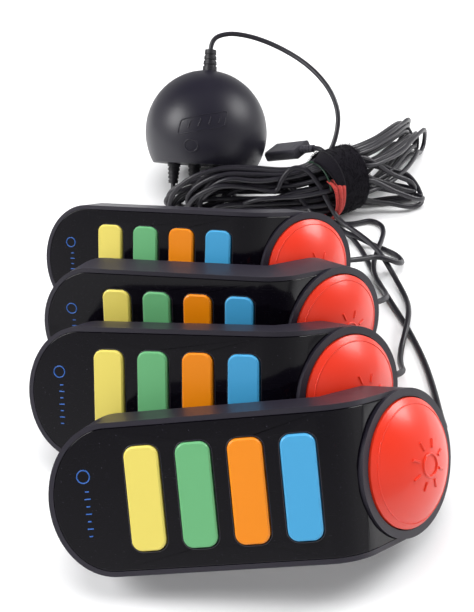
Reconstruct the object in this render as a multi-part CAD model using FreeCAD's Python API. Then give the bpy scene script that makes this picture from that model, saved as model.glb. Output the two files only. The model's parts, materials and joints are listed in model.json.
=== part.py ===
"""Wired quiz buzzer set: four hand buzzers, a round hub and a tied hank of cord with a computer plug.

Frame: +X to the right of the players' side, +Y towards the hub, +Z up, the table top at Z = 0.
Each hand buzzer is drawn in its own frame: x along the handle from tail to head, y across it,
z out of the glossy face, with its origin on the face at the first answer button.
"""
import FreeCAD
import Part
import math
import os

V = FreeCAD.Vector

# ---- hand buzzer: case -------------------------------------------------------------
CASE_WIDTH = 66.0          # across the handle and the round head
CASE_THICKNESS = 24.0      # face to back
CASE_WALL = 2.2
TAIL_ROUND = 27.0          # depth of the rounded tail end
TAIL_MARGIN = 34.8         # first button's edge to the end of the tail
BEND_MARGIN = 1.5          # last button's edge to the start of the bend
BEND_BACK_RADIUS = 3.0     # on the back; the face side adds the thickness
BEND_ANGLE = 48.0          # the head leans back by this much
HEAD_REACH = 26.4          # end of the bend to the head's centre
SPLIT_DEPTH = 17.0         # face to the joint line between the covers
PLATE_RIM = 2.2            # satin rim left round the glossy plate
PLATE_THICKNESS = 1.6
ROOF_THICKNESS = 1.6       # top cover under the plate
LIP_WIDTH = 1.0            # base cover's locating lip
LIP_HEIGHT = 2.0
FIT = 0.2                  # clearance between pieces that are screwed or laid together

# ---- hand buzzer: answer buttons ----------------------------------------------------
BUTTON_COLOURS = ("yellow", "green", "orange", "blue")
BUTTON_PITCH = 22.0
BUTTON_WIDTH = 14.6
BUTTON_LENGTH = 44.5
BUTTON_CORNER = 4.4
BUTTON_PROUD = 1.7
BUTTON_GAP = 0.5
BUTTON_EDGE = 0.7          # bevel round a button's top
BUTTON_FLANGE = 1.0        # how far its flange runs out under the roof
BUTTON_FLANGE_THICKNESS = 1.2
BUTTON_TRAVEL = 1.5

# ---- hand buzzer: dome button -------------------------------------------------------
DOME_RADIUS = 28.8
DOME_RISE = 10.0
DOME_SKIRT_PROUD = 2.2     # straight rim seen above the head's face
DOME_WALL = 2.2
DOME_GAP = 0.6
DOME_TRAVEL = 4.0
DOME_FLANGE_THICKNESS = 1.4
DOME_FLANGE_DROP = 1.0     # roof to flange, which the bent roof needs
DOME_PLUNGER_RADIUS = 4.0
BEZEL_PROUD = 1.4          # ring round the dome, above the head's face

# ---- hand buzzer: inside -----------------------------------------------------------
REST_GAP = 0.5             # left between a pressed button and what is under it
MAT_THICKNESS = 1.0
MAT_PAD_HEIGHT = 1.0
BOARD_THICKNESS = 1.6
BOARD_MARGIN = 1.2         # flange ends to the board's ends
RIB_THICKNESS = 1.4
POST_RADIUS = 2.5
HEAD_BOARD_RADIUS = 19.0
HEAD_SWITCH_SIDE = 6.0
HEAD_SWITCH_HEIGHT = 2.0
HEAD_POST_CIRCLE = 14.0
SCREW_RADIUS = 1.1
SCREW_LENGTH = 12.0
SCREW_HEAD_RADIUS = 2.3
SCREW_HEAD_HEIGHT = 1.8
SCREW_SINK = 1.0           # screw head below the cover's back
BOSS_RADIUS = 3.1
BOSS_BITE = 0.6            # how far a corner boss runs into the side wall
TAIL_SCREW_SPREAD = 34.0
TAIL_SCREW_INSET = 17.0

# ---- cords and glands --------------------------------------------------------------
CORD_DIAMETER = 3.5
GLAND_RADIUS = 3.4         # of a hand buzzer's strain relief, at its root
GLAND_TIP_RADIUS = 2.6
GLAND_LENGTH = 12.0
GLAND_INNER = 3.0          # flange held inside the covers
GLAND_FLANGE = 1.2         # how far that flange runs out

# ---- hub ---------------------------------------------------------------------------
HUB_RADIUS = 46.0
HUB_CUT = 24.0             # centre to the flat underside
HUB_WALL = 2.4
HUB_PLATE = 2.6            # thickness of the underside
HUB_ROLL = 4.0             # degrees, clockwise as the players see it
HUB_PLACE = (-16.0, 155.0)
OUTLET_PITCH = 15.6
OUTLET_RADIUS = 5.0
OUTLET_TIP_RADIUS = 3.6
OUTLET_LENGTH = 15.0
OUTLET_GROOVE = 0.6
OUTLET_CLEARANCE = 8.5     # cord's bend below the outlets, which the hub leans on
LEAD_GLAND_RADIUS = 5.4
LEAD_GLAND_LENGTH = 15.0
HUB_BOARD_RADIUS = 26.0
HUB_BOARD_LIFT = 7.0
HUB_SCREW_CIRCLE = 30.0

# ---- where the hand buzzers stand: nearest first ------------------------------------
# (x, turn about Z, lean back, slack behind it) in millimetres and degrees
FRONT_BUZZER_Y = -179.0
STANCES = (
    (-31.4, -7.0, 37.5, 8.5),
    (-54.1, -14.5, 33.0, -1.0),
    (-56.1, -12.5, 22.0, 8.0),
    (-67.5, -17.0, 28.0, 0.0),
)

# ---- hank, strap, tie and plug -------------------------------------------------------
STRAP_PLACE = (81.0, 112.0)
STRAP_TURN = 32.0          # the bundle's direction under the strap
STRAP_WIDTH = 22.0
STRAP_THICKNESS = 1.6
BUNDLE_WIDTH = 42.0
BUNDLE_HEIGHT = 46.0
TIE_THICKNESS = 1.6
TIE_WIDTH = 3.0
TIE_OFFSET = 2.0           # strap's edge to the tie
LEFT_LOBE = ((-45.5, 84.0), (-53.5, 98.0), (-43.5, 112.0), (10.0, 118.0), (30.0, 130.0), (78.0, 136.0),
             (82.0, 104.0), (60.0, 92.0), (16.5, 82.0))
LEFT_LOBE_HEIGHT = 36.0
RIGHT_LOBE = ((82.0, 104.0), (126.0, 100.0), (148.0, 118.0), (171.0, 162.0), (182.0, 206.0), (160.0, 226.0),
              (114.0, 198.0), (78.0, 136.0))
RIGHT_LOBE_HEIGHT = 42.0
LOBE_ROUND = 8.0
PLUG_LENGTH = 19.0
PLUG_WIDTH = 17.8
PLUG_HEIGHT = 7.8
PLUG_ROUND = 2.4
PLUG_CAP_LENGTH = 13.0
PLUG_SEAT = 6.0            # metal end's depth in the overmould
PLUG_NECK_LENGTH = 12.0
PLUG_NECK_RADIUS = 3.2
PLUG_SHELL_WIDTH = 12.0
PLUG_SHELL_HEIGHT = 4.5
PLUG_SHELL_LENGTH = 11.8
PLUG_SHELL_WALL = 0.35
PLUG_TONGUE = 1.8
PLUG_PLACE = (63.5, 128.0, 42.5)    # the neck's end, where the lead comes out
PLUG_TURN = 135.0          # the way its metal end points, about Z
PLUG_DROOP = 25.0
PLUG_ROLL = -9.0

# ---- values that follow ---------------------------------------------------------------
ROOF_DEPTH = PLATE_THICKNESS + ROOF_THICKNESS
BEND_RADIUS = CASE_THICKNESS + BEND_BACK_RADIUS
LAST_BUTTON = BUTTON_PITCH * (len(BUTTON_COLOURS) - 1)
BEND_START = LAST_BUTTON + BUTTON_WIDTH / 2 + BEND_MARGIN
TAIL_CENTRE = TAIL_ROUND - (BUTTON_WIDTH / 2 + TAIL_MARGIN)
FLANGE_TOP = -(ROOF_DEPTH + FIT)
FLANGE_BOTTOM = FLANGE_TOP - BUTTON_FLANGE_THICKNESS
PAD_TOP = FLANGE_BOTTOM - BUTTON_TRAVEL - REST_GAP
MAT_TOP = PAD_TOP - MAT_PAD_HEIGHT
BOARD_TOP = MAT_TOP - MAT_THICKNESS
BOARD_BOTTOM = BOARD_TOP - BOARD_THICKNESS
INNER_FLOOR = -(CASE_THICKNESS - CASE_WALL)
DOME_FLANGE_TOP = -(ROOF_DEPTH + DOME_FLANGE_DROP)
DOME_FLANGE_BOTTOM = DOME_FLANGE_TOP - DOME_FLANGE_THICKNESS
SWITCH_TOP = DOME_FLANGE_BOTTOM - DOME_TRAVEL - REST_GAP
HEAD_BOARD_TOP = SWITCH_TOP - HEAD_SWITCH_HEIGHT
HUB_RIM = math.sqrt(HUB_RADIUS ** 2 - HUB_CUT ** 2)
HUB_TILT = math.degrees(math.atan2(OUTLET_LENGTH + OUTLET_CLEARANCE, HUB_RIM))
SCREW_PLACES = (
    (-TAIL_SCREW_INSET - BUTTON_WIDTH / 2, -TAIL_SCREW_SPREAD / 2),
    (-TAIL_SCREW_INSET - BUTTON_WIDTH / 2, TAIL_SCREW_SPREAD / 2),
    (BEND_START - BOSS_RADIUS - BOSS_BITE, -(CASE_WIDTH / 2 - CASE_WALL - BOSS_RADIUS + BOSS_BITE)),
    (BEND_START - BOSS_RADIUS - BOSS_BITE, CASE_WIDTH / 2 - CASE_WALL - BOSS_RADIUS + BOSS_BITE),
)


def save(node, shape):
    """Write one sub-part's STEP file."""
    shape.exportStep(f"parts/{node}.step")


def group(solids):
    """Several separate solids as one node."""
    return Part.makeCompound(solids)


# ---- the bent case -----------------------------------------------------------------
def head_frame():
    """Place that takes a shape drawn on the head's face to the buzzer's frame."""
    bend = math.radians(BEND_ANGLE)
    end = V(BEND_START + BEND_RADIUS * math.sin(bend), 0, BEND_RADIUS * (math.cos(bend) - 1))
    along = V(math.cos(bend), 0, -math.sin(bend))
    return FreeCAD.Placement(end + along * HEAD_REACH, FreeCAD.Rotation(V(0, 1, 0), BEND_ANGLE))


def handle_outline(inset):
    """Plan of the straight handle: a rounded tail and two parallel sides, as a face at z = 0."""
    half = CASE_WIDTH / 2 - inset
    depth = TAIL_ROUND - inset
    centre = V(TAIL_CENTRE, 0, 0)
    if half >= depth:
        ellipse = Part.Ellipse(centre + V(0, half, 0), centre + V(-depth, 0, 0), centre)
        arc = ellipse.toShape(0, math.pi)
    else:
        ellipse = Part.Ellipse(centre + V(-depth, 0, 0), centre + V(0, half, 0), centre)
        arc = ellipse.toShape(-math.pi / 2, math.pi / 2)
    first, last = arc.Vertexes[0].Point, arc.Vertexes[-1].Point
    corners = [V(BEND_START, last.y, 0), V(BEND_START, first.y, 0)]
    edges = [arc, Part.makeLine(last, corners[0]), Part.makeLine(corners[0], corners[1]),
             Part.makeLine(corners[1], first)]
    return Part.Face(Part.Wire(Part.__sortEdges__(edges)))


def case_slab(low, high, inset):
    """Layer of the bent case between two depths from the face, its sides moved in by inset."""
    half = CASE_WIDTH / 2 - inset
    thick = high - low
    handle = handle_outline(inset).extrude(V(0, 0, thick))
    handle.translate(V(0, 0, low))
    section = Part.makePolygon([V(BEND_START, -half, low), V(BEND_START, half, low), V(BEND_START, half, high),
                                V(BEND_START, -half, high), V(BEND_START, -half, low)])
    bend = Part.Face(section).revolve(V(BEND_START, 0, -BEND_RADIUS), V(0, 1, 0), BEND_ANGLE)
    block = Part.makeBox(HEAD_REACH, 2 * half, thick, V(-HEAD_REACH, -half, low))
    disc = Part.makeCylinder(half, thick, V(0, 0, low))
    ahead_of_bend = Part.makeBox(HEAD_REACH + 2 * half, 3 * half, thick, V(-HEAD_REACH, -1.5 * half, low))
    head = block.fuse(disc.common(ahead_of_bend)).removeSplitter()
    head.Placement = head_frame()
    return handle.fuse([bend, head]).removeSplitter()


def on_head(shape):
    """Move a shape drawn on the head's face into the buzzer's frame."""
    moved = shape.copy()
    moved.Placement = head_frame()
    return moved


def rounded_bar(width, length, corner, low, high, x):
    """Upright block with rounded corners, centred at x."""
    face = Part.makePlane(width, length, V(x - width / 2, -length / 2, low))
    block = face.extrude(V(0, 0, high - low))
    upright = [e for e in block.Edges if abs(e.Vertexes[0].Point.z - e.Vertexes[1].Point.z) > (high - low) / 2]
    return block.makeFillet(corner, upright)


def button_opening(x, low, high, grow=0.0):
    """The hole that an answer button moves in."""
    gap = BUTTON_GAP + grow
    return rounded_bar(BUTTON_WIDTH + 2 * gap, BUTTON_LENGTH + 2 * gap, BUTTON_CORNER + gap, low, high, x)


def gland_bore(radius):
    """Hole through the head's end wall at the joint line."""
    bore = Part.makeCylinder(radius, 3 * CASE_WALL, V(CASE_WIDTH / 2 - 2 * CASE_WALL, 0, -SPLIT_DEPTH), V(1, 0, 0))
    return on_head(bore)


def gland_pocket():
    """Room for the relief's flange in the lip and behind the wall."""
    depth = GLAND_INNER + 2 * FIT
    start = V(CASE_WIDTH / 2 - CASE_WALL - depth, 0, -SPLIT_DEPTH)
    return on_head(Part.makeCylinder(GLAND_RADIUS + GLAND_FLANGE + FIT, depth, start, V(1, 0, 0)))


def make_top_cover():
    outer = case_slab(-SPLIT_DEPTH, 0, 0)
    hollow = case_slab(-SPLIT_DEPTH - 1, -ROOF_DEPTH, CASE_WALL)
    head_zone = on_head(Part.makeCylinder(CASE_WIDTH / 2, ROOF_DEPTH + 6, V(0, 0, -ROOF_DEPTH - 2)))
    recess = case_slab(-PLATE_THICKNESS, 3, PLATE_RIM).cut(head_zone)
    cover = outer.cut(hollow).cut(recess)
    ring = on_head(Part.makeCylinder(CASE_WIDTH / 2, ROOF_DEPTH + BEZEL_PROUD, V(0, 0, -ROOF_DEPTH)))
    ring = ring.cut(case_slab(-CASE_THICKNESS, -ROOF_DEPTH, CASE_WALL))
    bosses = [Part.makeCylinder(BOSS_RADIUS, SPLIT_DEPTH - ROOF_DEPTH + 0.5, V(x, y, -SPLIT_DEPTH))
              for x, y in SCREW_PLACES]
    ribs = []
    for index in range(len(BUTTON_COLOURS) - 1):
        x = (index + 0.5) * BUTTON_PITCH
        ribs.append(Part.makeBox(RIB_THICKNESS, BUTTON_LENGTH, -MAT_TOP - ROOF_DEPTH + 0.5,
                                 V(x - RIB_THICKNESS / 2, -BUTTON_LENGTH / 2, MAT_TOP)))
    cover = cover.fuse([ring] + bosses + ribs)
    cuts = [button_opening(i * BUTTON_PITCH, -ROOF_DEPTH - 1, 1) for i in range(len(BUTTON_COLOURS))]
    cuts.append(on_head(Part.makeCylinder(DOME_RADIUS + DOME_GAP, ROOF_DEPTH + 8, V(0, 0, -ROOF_DEPTH - 3))))
    cuts += [Part.makeCylinder(SCREW_RADIUS + 0.05, SCREW_LENGTH, V(x, y, -SPLIT_DEPTH - 1))
             for x, y in SCREW_PLACES]
    cuts += [gland_bore(GLAND_RADIUS), gland_pocket()]
    return cover.cut(cuts).removeSplitter()


def make_base_cover():
    outer = case_slab(-CASE_THICKNESS, -SPLIT_DEPTH, 0)
    hollow = case_slab(INNER_FLOOR, -SPLIT_DEPTH + 1, CASE_WALL)
    lip = case_slab(-SPLIT_DEPTH - 2, -SPLIT_DEPTH + LIP_HEIGHT, CASE_WALL + FIT)
    lip = lip.cut(case_slab(-SPLIT_DEPTH - 3, -SPLIT_DEPTH + LIP_HEIGHT + 1, CASE_WALL + FIT + LIP_WIDTH))
    bridge = case_slab(-SPLIT_DEPTH - 2, -SPLIT_DEPTH - 1, CASE_WALL - 0.5)
    bridge = bridge.cut(case_slab(-SPLIT_DEPTH - 3, -SPLIT_DEPTH, CASE_WALL + FIT + LIP_WIDTH))
    cover = outer.cut(hollow).fuse([lip, bridge])
    clear = [Part.makeCylinder(BOSS_RADIUS + FIT, LIP_HEIGHT + 1, V(x, y, -SPLIT_DEPTH)) for x, y in SCREW_PLACES]
    cover = cover.cut(clear)
    bosses = [Part.makeCylinder(BOSS_RADIUS, CASE_THICKNESS - SPLIT_DEPTH - 0.5, V(x, y, -CASE_THICKNESS + 0.5))
              for x, y in SCREW_PLACES]
    posts = [Part.makeCylinder(POST_RADIUS, BOARD_BOTTOM - INNER_FLOOR + 0.5, V(x, 0, INNER_FLOOR - 0.5))
             for x in (BUTTON_PITCH / 2, LAST_BUTTON - BUTTON_PITCH / 2)]
    head_floor = HEAD_BOARD_TOP - BOARD_THICKNESS
    for step in range(3):
        turn = math.radians(60 + 120 * step)
        foot = V(HEAD_POST_CIRCLE * math.cos(turn), HEAD_POST_CIRCLE * math.sin(turn), INNER_FLOOR - 0.5)
        posts.append(on_head(Part.makeCylinder(POST_RADIUS, head_floor - INNER_FLOOR + 0.5, foot)))
    cover = cover.fuse(bosses + posts)
    cuts = []
    for x, y in SCREW_PLACES:
        cuts.append(Part.makeCylinder(SCREW_RADIUS + 0.3, CASE_THICKNESS, V(x, y, -CASE_THICKNESS - 1)))
        cuts.append(Part.makeCylinder(SCREW_HEAD_RADIUS + 0.3, SCREW_SINK + SCREW_HEAD_HEIGHT + 1,
                                      V(x, y, -CASE_THICKNESS - 1)))
    cuts += [gland_bore(GLAND_RADIUS), gland_pocket()]
    return cover.cut(cuts).removeSplitter()


def make_face_plate():
    plate = case_slab(-PLATE_THICKNESS, 0, PLATE_RIM + FIT)
    head_zone = on_head(Part.makeCylinder(CASE_WIDTH / 2 + FIT, ROOF_DEPTH + 6, V(0, 0, -ROOF_DEPTH - 2)))
    cuts = [head_zone] + [button_opening(i * BUTTON_PITCH, -ROOF_DEPTH, 1) for i in range(len(BUTTON_COLOURS))]
    pieces = plate.cut(cuts).Solids
    return max(pieces, key=lambda solid: solid.Volume)


def make_answer_button(index):
    """A cap with a bevelled top and a flange that holds it under the roof."""
    x = index * BUTTON_PITCH
    cap = rounded_bar(BUTTON_WIDTH, BUTTON_LENGTH, BUTTON_CORNER, FLANGE_BOTTOM, BUTTON_PROUD, x)
    top = [edge for edge in cap.Edges if min(v.Point.z for v in edge.Vertexes) > BUTTON_PROUD - 0.01]
    cap = cap.makeChamfer(BUTTON_EDGE, top)
    reach = 2 * (BUTTON_GAP + BUTTON_FLANGE)
    flange = rounded_bar(BUTTON_WIDTH + reach, BUTTON_LENGTH + reach, BUTTON_CORNER + reach / 2,
                         FLANGE_BOTTOM, FLANGE_TOP, x)
    return cap.fuse(flange).removeSplitter()


def make_dome_button():
    """Round cap turned about the head's axis: skirt, flange, crown, wall and plunger."""
    crown_radius = (DOME_RADIUS ** 2 + DOME_RISE ** 2) / (2 * DOME_RISE)
    rim = DOME_SKIRT_PROUD
    flange_radius = min(DOME_RADIUS + DOME_GAP + 1.0, CASE_WIDTH / 2 - CASE_WALL - 0.3)
    crown = Part.makeSphere(crown_radius, V(0, 0, rim + DOME_RISE - crown_radius))
    body = Part.makeCylinder(DOME_RADIUS, rim + DOME_RISE - DOME_FLANGE_BOTTOM, V(0, 0, DOME_FLANGE_BOTTOM))
    keep = Part.makeCylinder(DOME_RADIUS, rim - DOME_FLANGE_BOTTOM, V(0, 0, DOME_FLANGE_BOTTOM))
    crown = crown.common(Part.makeBox(4 * DOME_RADIUS, 4 * DOME_RADIUS, DOME_RISE,
                                      V(-2 * DOME_RADIUS, -2 * DOME_RADIUS, rim)))
    body = body.common(keep.fuse(crown))
    flange = Part.makeCylinder(flange_radius, DOME_FLANGE_THICKNESS, V(0, 0, DOME_FLANGE_BOTTOM))
    hollow = Part.makeSphere(crown_radius - DOME_WALL, V(0, 0, rim + DOME_RISE - crown_radius))
    bore = Part.makeCylinder(DOME_RADIUS - DOME_WALL, rim - DOME_FLANGE_BOTTOM + DOME_RISE + 1,
                             V(0, 0, DOME_FLANGE_BOTTOM - 1))
    lower = Part.makeBox(4 * DOME_RADIUS, 4 * DOME_RADIUS, rim - DOME_FLANGE_BOTTOM + 1,
                         V(-2 * DOME_RADIUS, -2 * DOME_RADIUS, DOME_FLANGE_BOTTOM - 1))
    hollow = bore.common(hollow.fuse(lower))
    plunger = Part.makeCylinder(DOME_PLUNGER_RADIUS, rim + DOME_RISE - DOME_WALL / 2 - DOME_FLANGE_BOTTOM,
                                V(0, 0, DOME_FLANGE_BOTTOM))
    return on_head(body.fuse(flange).cut(hollow).fuse(plunger).removeSplitter())


def board_outline():
    """Length, width and first corner of the keypad board and its mat."""
    reach = BUTTON_GAP + BUTTON_FLANGE + BOARD_MARGIN
    return (LAST_BUTTON + BUTTON_WIDTH + 2 * reach - 2 * BOARD_MARGIN, BUTTON_LENGTH,
            V(-BUTTON_WIDTH / 2 - reach + BOARD_MARGIN, -BUTTON_LENGTH / 2, 0))


def make_keypad_mat():
    length, width, corner = board_outline()
    mat = Part.makeBox(length, width, MAT_THICKNESS, corner + V(0, 0, BOARD_TOP))
    pads = [rounded_bar(BUTTON_WIDTH / 2, BUTTON_LENGTH / 2, BUTTON_CORNER / 2, MAT_TOP - 0.3, PAD_TOP,
                        i * BUTTON_PITCH) for i in range(len(BUTTON_COLOURS))]
    return mat.fuse(pads).removeSplitter()


def make_circuit_board():
    """Keypad board under the mat, and the round head board with the dome's switch."""
    length, width, corner = board_outline()
    keypad = Part.makeBox(length, width, BOARD_THICKNESS, corner + V(0, 0, BOARD_BOTTOM))
    head = Part.makeCylinder(HEAD_BOARD_RADIUS, BOARD_THICKNESS, V(0, 0, HEAD_BOARD_TOP - BOARD_THICKNESS))
    side = HEAD_SWITCH_SIDE
    switch = Part.makeBox(side, side, HEAD_SWITCH_HEIGHT, V(-side / 2, -side / 2, HEAD_BOARD_TOP))
    return group([keypad, on_head(head.fuse(switch).removeSplitter())])


def ribbed_cone(root, tip, length, rings, start):
    """Tapered strain relief along +z, cut by ring grooves."""
    cone = Part.makeCone(root, tip, length, V(0, 0, start))
    pitch = length / (rings + 1)
    for ring in range(1, rings + 1):
        z = start + ring * pitch
        radius = root + (tip - root) * ring / (rings + 1)
        groove = Part.makeCylinder(radius + 1, pitch / 3, V(0, 0, z - pitch / 6))
        cone = cone.cut(groove.cut(Part.makeCylinder(radius - OUTLET_GROOVE, pitch, V(0, 0, z - pitch / 2))))
    return cone


def make_buzzer_gland():
    """Relief gripped by both covers at the head's end; drawn along +z, then laid along the head."""
    wall_inner = CASE_WIDTH / 2 - CASE_WALL
    flange = Part.makeCylinder(GLAND_RADIUS + GLAND_FLANGE, GLAND_INNER - FIT, V(0, 0, wall_inner - GLAND_INNER))
    body = Part.makeCylinder(GLAND_RADIUS, CASE_WALL + GLAND_INNER, V(0, 0, wall_inner - GLAND_INNER))
    tail = ribbed_cone(GLAND_RADIUS, GLAND_TIP_RADIUS, GLAND_LENGTH, 3, CASE_WIDTH / 2)
    gland = flange.fuse([body, tail]).removeSplitter()
    gland.Placement = FreeCAD.Placement(V(0, 0, -SPLIT_DEPTH), FreeCAD.Rotation(V(0, 1, 0), 90))
    return on_head_placed(gland)


def on_head_placed(shape):
    """As on_head, for a shape that has a placement of its own."""
    moved = shape.copy()
    moved.Placement = head_frame().multiply(shape.Placement)
    return moved


def make_case_screws():
    screws = []
    for x, y in SCREW_PLACES:
        seat = -CASE_THICKNESS + SCREW_SINK
        head = Part.makeCylinder(SCREW_HEAD_RADIUS, SCREW_HEAD_HEIGHT, V(x, y, seat))
        shank = Part.makeCylinder(SCREW_RADIUS, SCREW_LENGTH, V(x, y, seat + SCREW_HEAD_HEIGHT))
        slot = Part.makeBox(2 * SCREW_HEAD_RADIUS + 1, 0.6, 0.7, V(x - SCREW_HEAD_RADIUS - 0.5, y - 0.3, seat))
        screws.append(head.fuse(shank).cut(slot).removeSplitter())
    return screws


# ---- how a hand buzzer stands --------------------------------------------------------
def back_edge_points():
    """Points round the outline of the case's back, as (tail half, head half)."""
    half, low = CASE_WIDTH / 2, -CASE_THICKNESS
    tail = []
    for step in range(25):
        turn = math.radians(90 + 180 * step / 24)
        tail.append(V(TAIL_CENTRE + TAIL_ROUND * math.cos(turn), half * math.sin(turn), low))
    head = []
    for step in range(49):
        turn = math.radians(-90 + 180 * step / 48)
        head.append(head_frame().multVec(V(half * math.cos(turn), half * math.sin(turn), low)))
    return tail, head


def stance(x, y, turn, lean):
    """Place of a hand buzzer that leans back and touches the table with its tail and its head."""
    tail, head = back_edge_points()

    def lowest(roll):
        spin = (FreeCAD.Rotation(V(0, 0, 1), turn).multiply(FreeCAD.Rotation(V(1, 0, 0), 90 - lean))
                .multiply(FreeCAD.Rotation(V(0, 0, 1), roll)))
        return spin, min(spin.multVec(p).z for p in tail), min(spin.multVec(p).z for p in head)

    under, over = -10.0, 40.0
    for _ in range(40):
        roll = (under + over) / 2
        spin, tail_low, head_low = lowest(roll)
        if head_low < tail_low:
            under = roll
        else:
            over = roll
    return FreeCAD.Placement(V(x, y, -min(tail_low, head_low)), spin)


def stances():
    """Places of the four buzzers, each standing clear of the one in front of it."""
    places = []
    y = FRONT_BUZZER_Y
    step = (CASE_THICKNESS + DOME_RISE) / math.cos(math.radians(BEND_ANGLE))
    for x, turn, lean, slack in STANCES:
        places.append(stance(x, y, turn, lean))
        y += step + slack
    return places


def placed(shape, place):
    """Copy of a shape moved by a place, on top of the place it has."""
    moved = shape.copy()
    moved.Placement = place.multiply(shape.Placement)
    return moved


# ---- hub --------------------------------------------------------------------------
def hub_place():
    """The hub leans back on its rim and on the cords below its outlets."""
    spin = FreeCAD.Rotation(V(0, 1, 0), HUB_ROLL).multiply(FreeCAD.Rotation(V(1, 0, 0), -HUB_TILT))
    rim = [V(HUB_RIM * math.cos(math.radians(a)), HUB_RIM * math.sin(math.radians(a)), -HUB_CUT)
           for a in range(0, 360, 2)]
    low = min(spin.multVec(point).z for point in rim)
    return FreeCAD.Placement(V(HUB_PLACE[0], HUB_PLACE[1], -low), spin)


def outlet_places():
    return [(index - 1.5) * OUTLET_PITCH for index in range(4)]


def hub_screw_places():
    return [(HUB_SCREW_CIRCLE * math.cos(math.radians(a)), HUB_SCREW_CIRCLE * math.sin(math.radians(a)))
            for a in (50, 130, 270)]


def make_hub_dome():
    base_top = -HUB_CUT + HUB_PLATE
    side = 4 * HUB_RADIUS
    above = Part.makeBox(side, side, side, V(-side / 2, -side / 2, base_top))
    shell = Part.makeSphere(HUB_RADIUS).cut(Part.makeSphere(HUB_RADIUS - HUB_WALL)).common(above)
    bosses = []
    for x, y in hub_screw_places():
        column = Part.makeCylinder(BOSS_RADIUS, 2 * HUB_RADIUS, V(x, y, base_top + 1))
        bosses.append(column.common(Part.makeSphere(HUB_RADIUS - HUB_WALL / 2)))
    shell = shell.fuse(bosses)
    cuts = [Part.makeCylinder(SCREW_RADIUS + 0.05, SCREW_LENGTH, V(x, y, base_top)) for x, y in hub_screw_places()]
    cuts.append(Part.makeCylinder(LEAD_GLAND_RADIUS, 2 * HUB_RADIUS))
    return shell.cut(cuts).removeSplitter()


def make_hub_base():
    low, top = -HUB_CUT, -HUB_CUT + HUB_PLATE
    side = 4 * HUB_RADIUS
    layer = Part.makeBox(side, side, HUB_PLATE, V(-side / 2, -side / 2, low))
    plate = Part.makeSphere(HUB_RADIUS).common(layer)
    inner = math.sqrt((HUB_RADIUS - HUB_WALL) ** 2 - top ** 2) - FIT
    lip = Part.makeCylinder(inner, LIP_HEIGHT, V(0, 0, top)).cut(
        Part.makeCylinder(inner - LIP_WIDTH, LIP_HEIGHT, V(0, 0, top)))
    posts = [Part.makeCylinder(POST_RADIUS, HUB_BOARD_LIFT, V(x, y, top))
             for x, y in ((-18, 14), (18, 14), (-18, -14), (18, -14))]
    bosses = [Part.makeCylinder(BOSS_RADIUS, 1 - FIT, V(x, y, top)) for x, y in hub_screw_places()]
    plate = plate.fuse([lip] + posts + bosses)
    cuts = [Part.makeCylinder(OUTLET_RADIUS, 20, V(x, 0, low - 10)) for x in outlet_places()]
    for x, y in hub_screw_places():
        cuts.append(Part.makeCylinder(SCREW_RADIUS + 0.3, 20, V(x, y, low - 10)))
        cuts.append(Part.makeCylinder(SCREW_HEAD_RADIUS + 0.3, 1.2, V(x, y, low)))
    return plate.cut(cuts).removeSplitter()


def make_hub_board():
    """Round board with the controller and its parts on top."""
    low = -HUB_CUT + HUB_PLATE + HUB_BOARD_LIFT
    board = Part.makeCylinder(HUB_BOARD_RADIUS, BOARD_THICKNESS, V(0, 0, low))
    top = low + BOARD_THICKNESS
    chip = Part.makeBox(14, 10, 2, V(-7, -5, top))
    crystal = Part.makeBox(4, 10, 3.5, V(11, -5, top))
    socket = Part.makeBox(12, 5, 5, V(-6, 12, top))
    return board.fuse([chip, crystal, socket]).removeSplitter()


def make_hub_outlets():
    """Four ribbed reliefs through the underside, pointing down."""
    glands = []
    for x in outlet_places():
        flange = Part.makeCylinder(OUTLET_RADIUS + 1.2, 1.5, V(0, 0, 0))
        neck = Part.makeCylinder(OUTLET_RADIUS, HUB_PLATE + 1.5, V(0, 0, 0))
        cone = ribbed_cone(OUTLET_RADIUS, OUTLET_TIP_RADIUS, OUTLET_LENGTH, 4, HUB_PLATE + 1.5)
        gland = flange.fuse([neck, cone]).removeSplitter()
        gland.Placement = FreeCAD.Placement(V(x, 0, -HUB_CUT + HUB_PLATE + 1.5), FreeCAD.Rotation(V(1, 0, 0), 180))
        glands.append(gland)
    return glands


def make_hub_lead_gland():
    """Stepped relief out of the top."""
    start = math.sqrt((HUB_RADIUS - HUB_WALL) ** 2 - LEAD_GLAND_RADIUS ** 2) - 1
    flange = Part.makeCylinder(LEAD_GLAND_RADIUS + 1.2, 1.5, V(0, 0, start - 2))
    neck = Part.makeCylinder(LEAD_GLAND_RADIUS, HUB_RADIUS - start + 2, V(0, 0, start - 2))
    cone = ribbed_cone(LEAD_GLAND_RADIUS, OUTLET_TIP_RADIUS + 0.6, LEAD_GLAND_LENGTH, 3, HUB_RADIUS)
    return flange.fuse([neck, cone]).removeSplitter()


def make_hub_screws():
    screws = []
    for x, y in hub_screw_places():
        head = Part.makeCylinder(SCREW_HEAD_RADIUS, 1.0, V(x, y, -HUB_CUT + 0.2))
        shank = Part.makeCylinder(SCREW_RADIUS, SCREW_LENGTH - 4, V(x, y, -HUB_CUT + 1.2))
        screws.append(head.fuse(shank).removeSplitter())
    return screws


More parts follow.
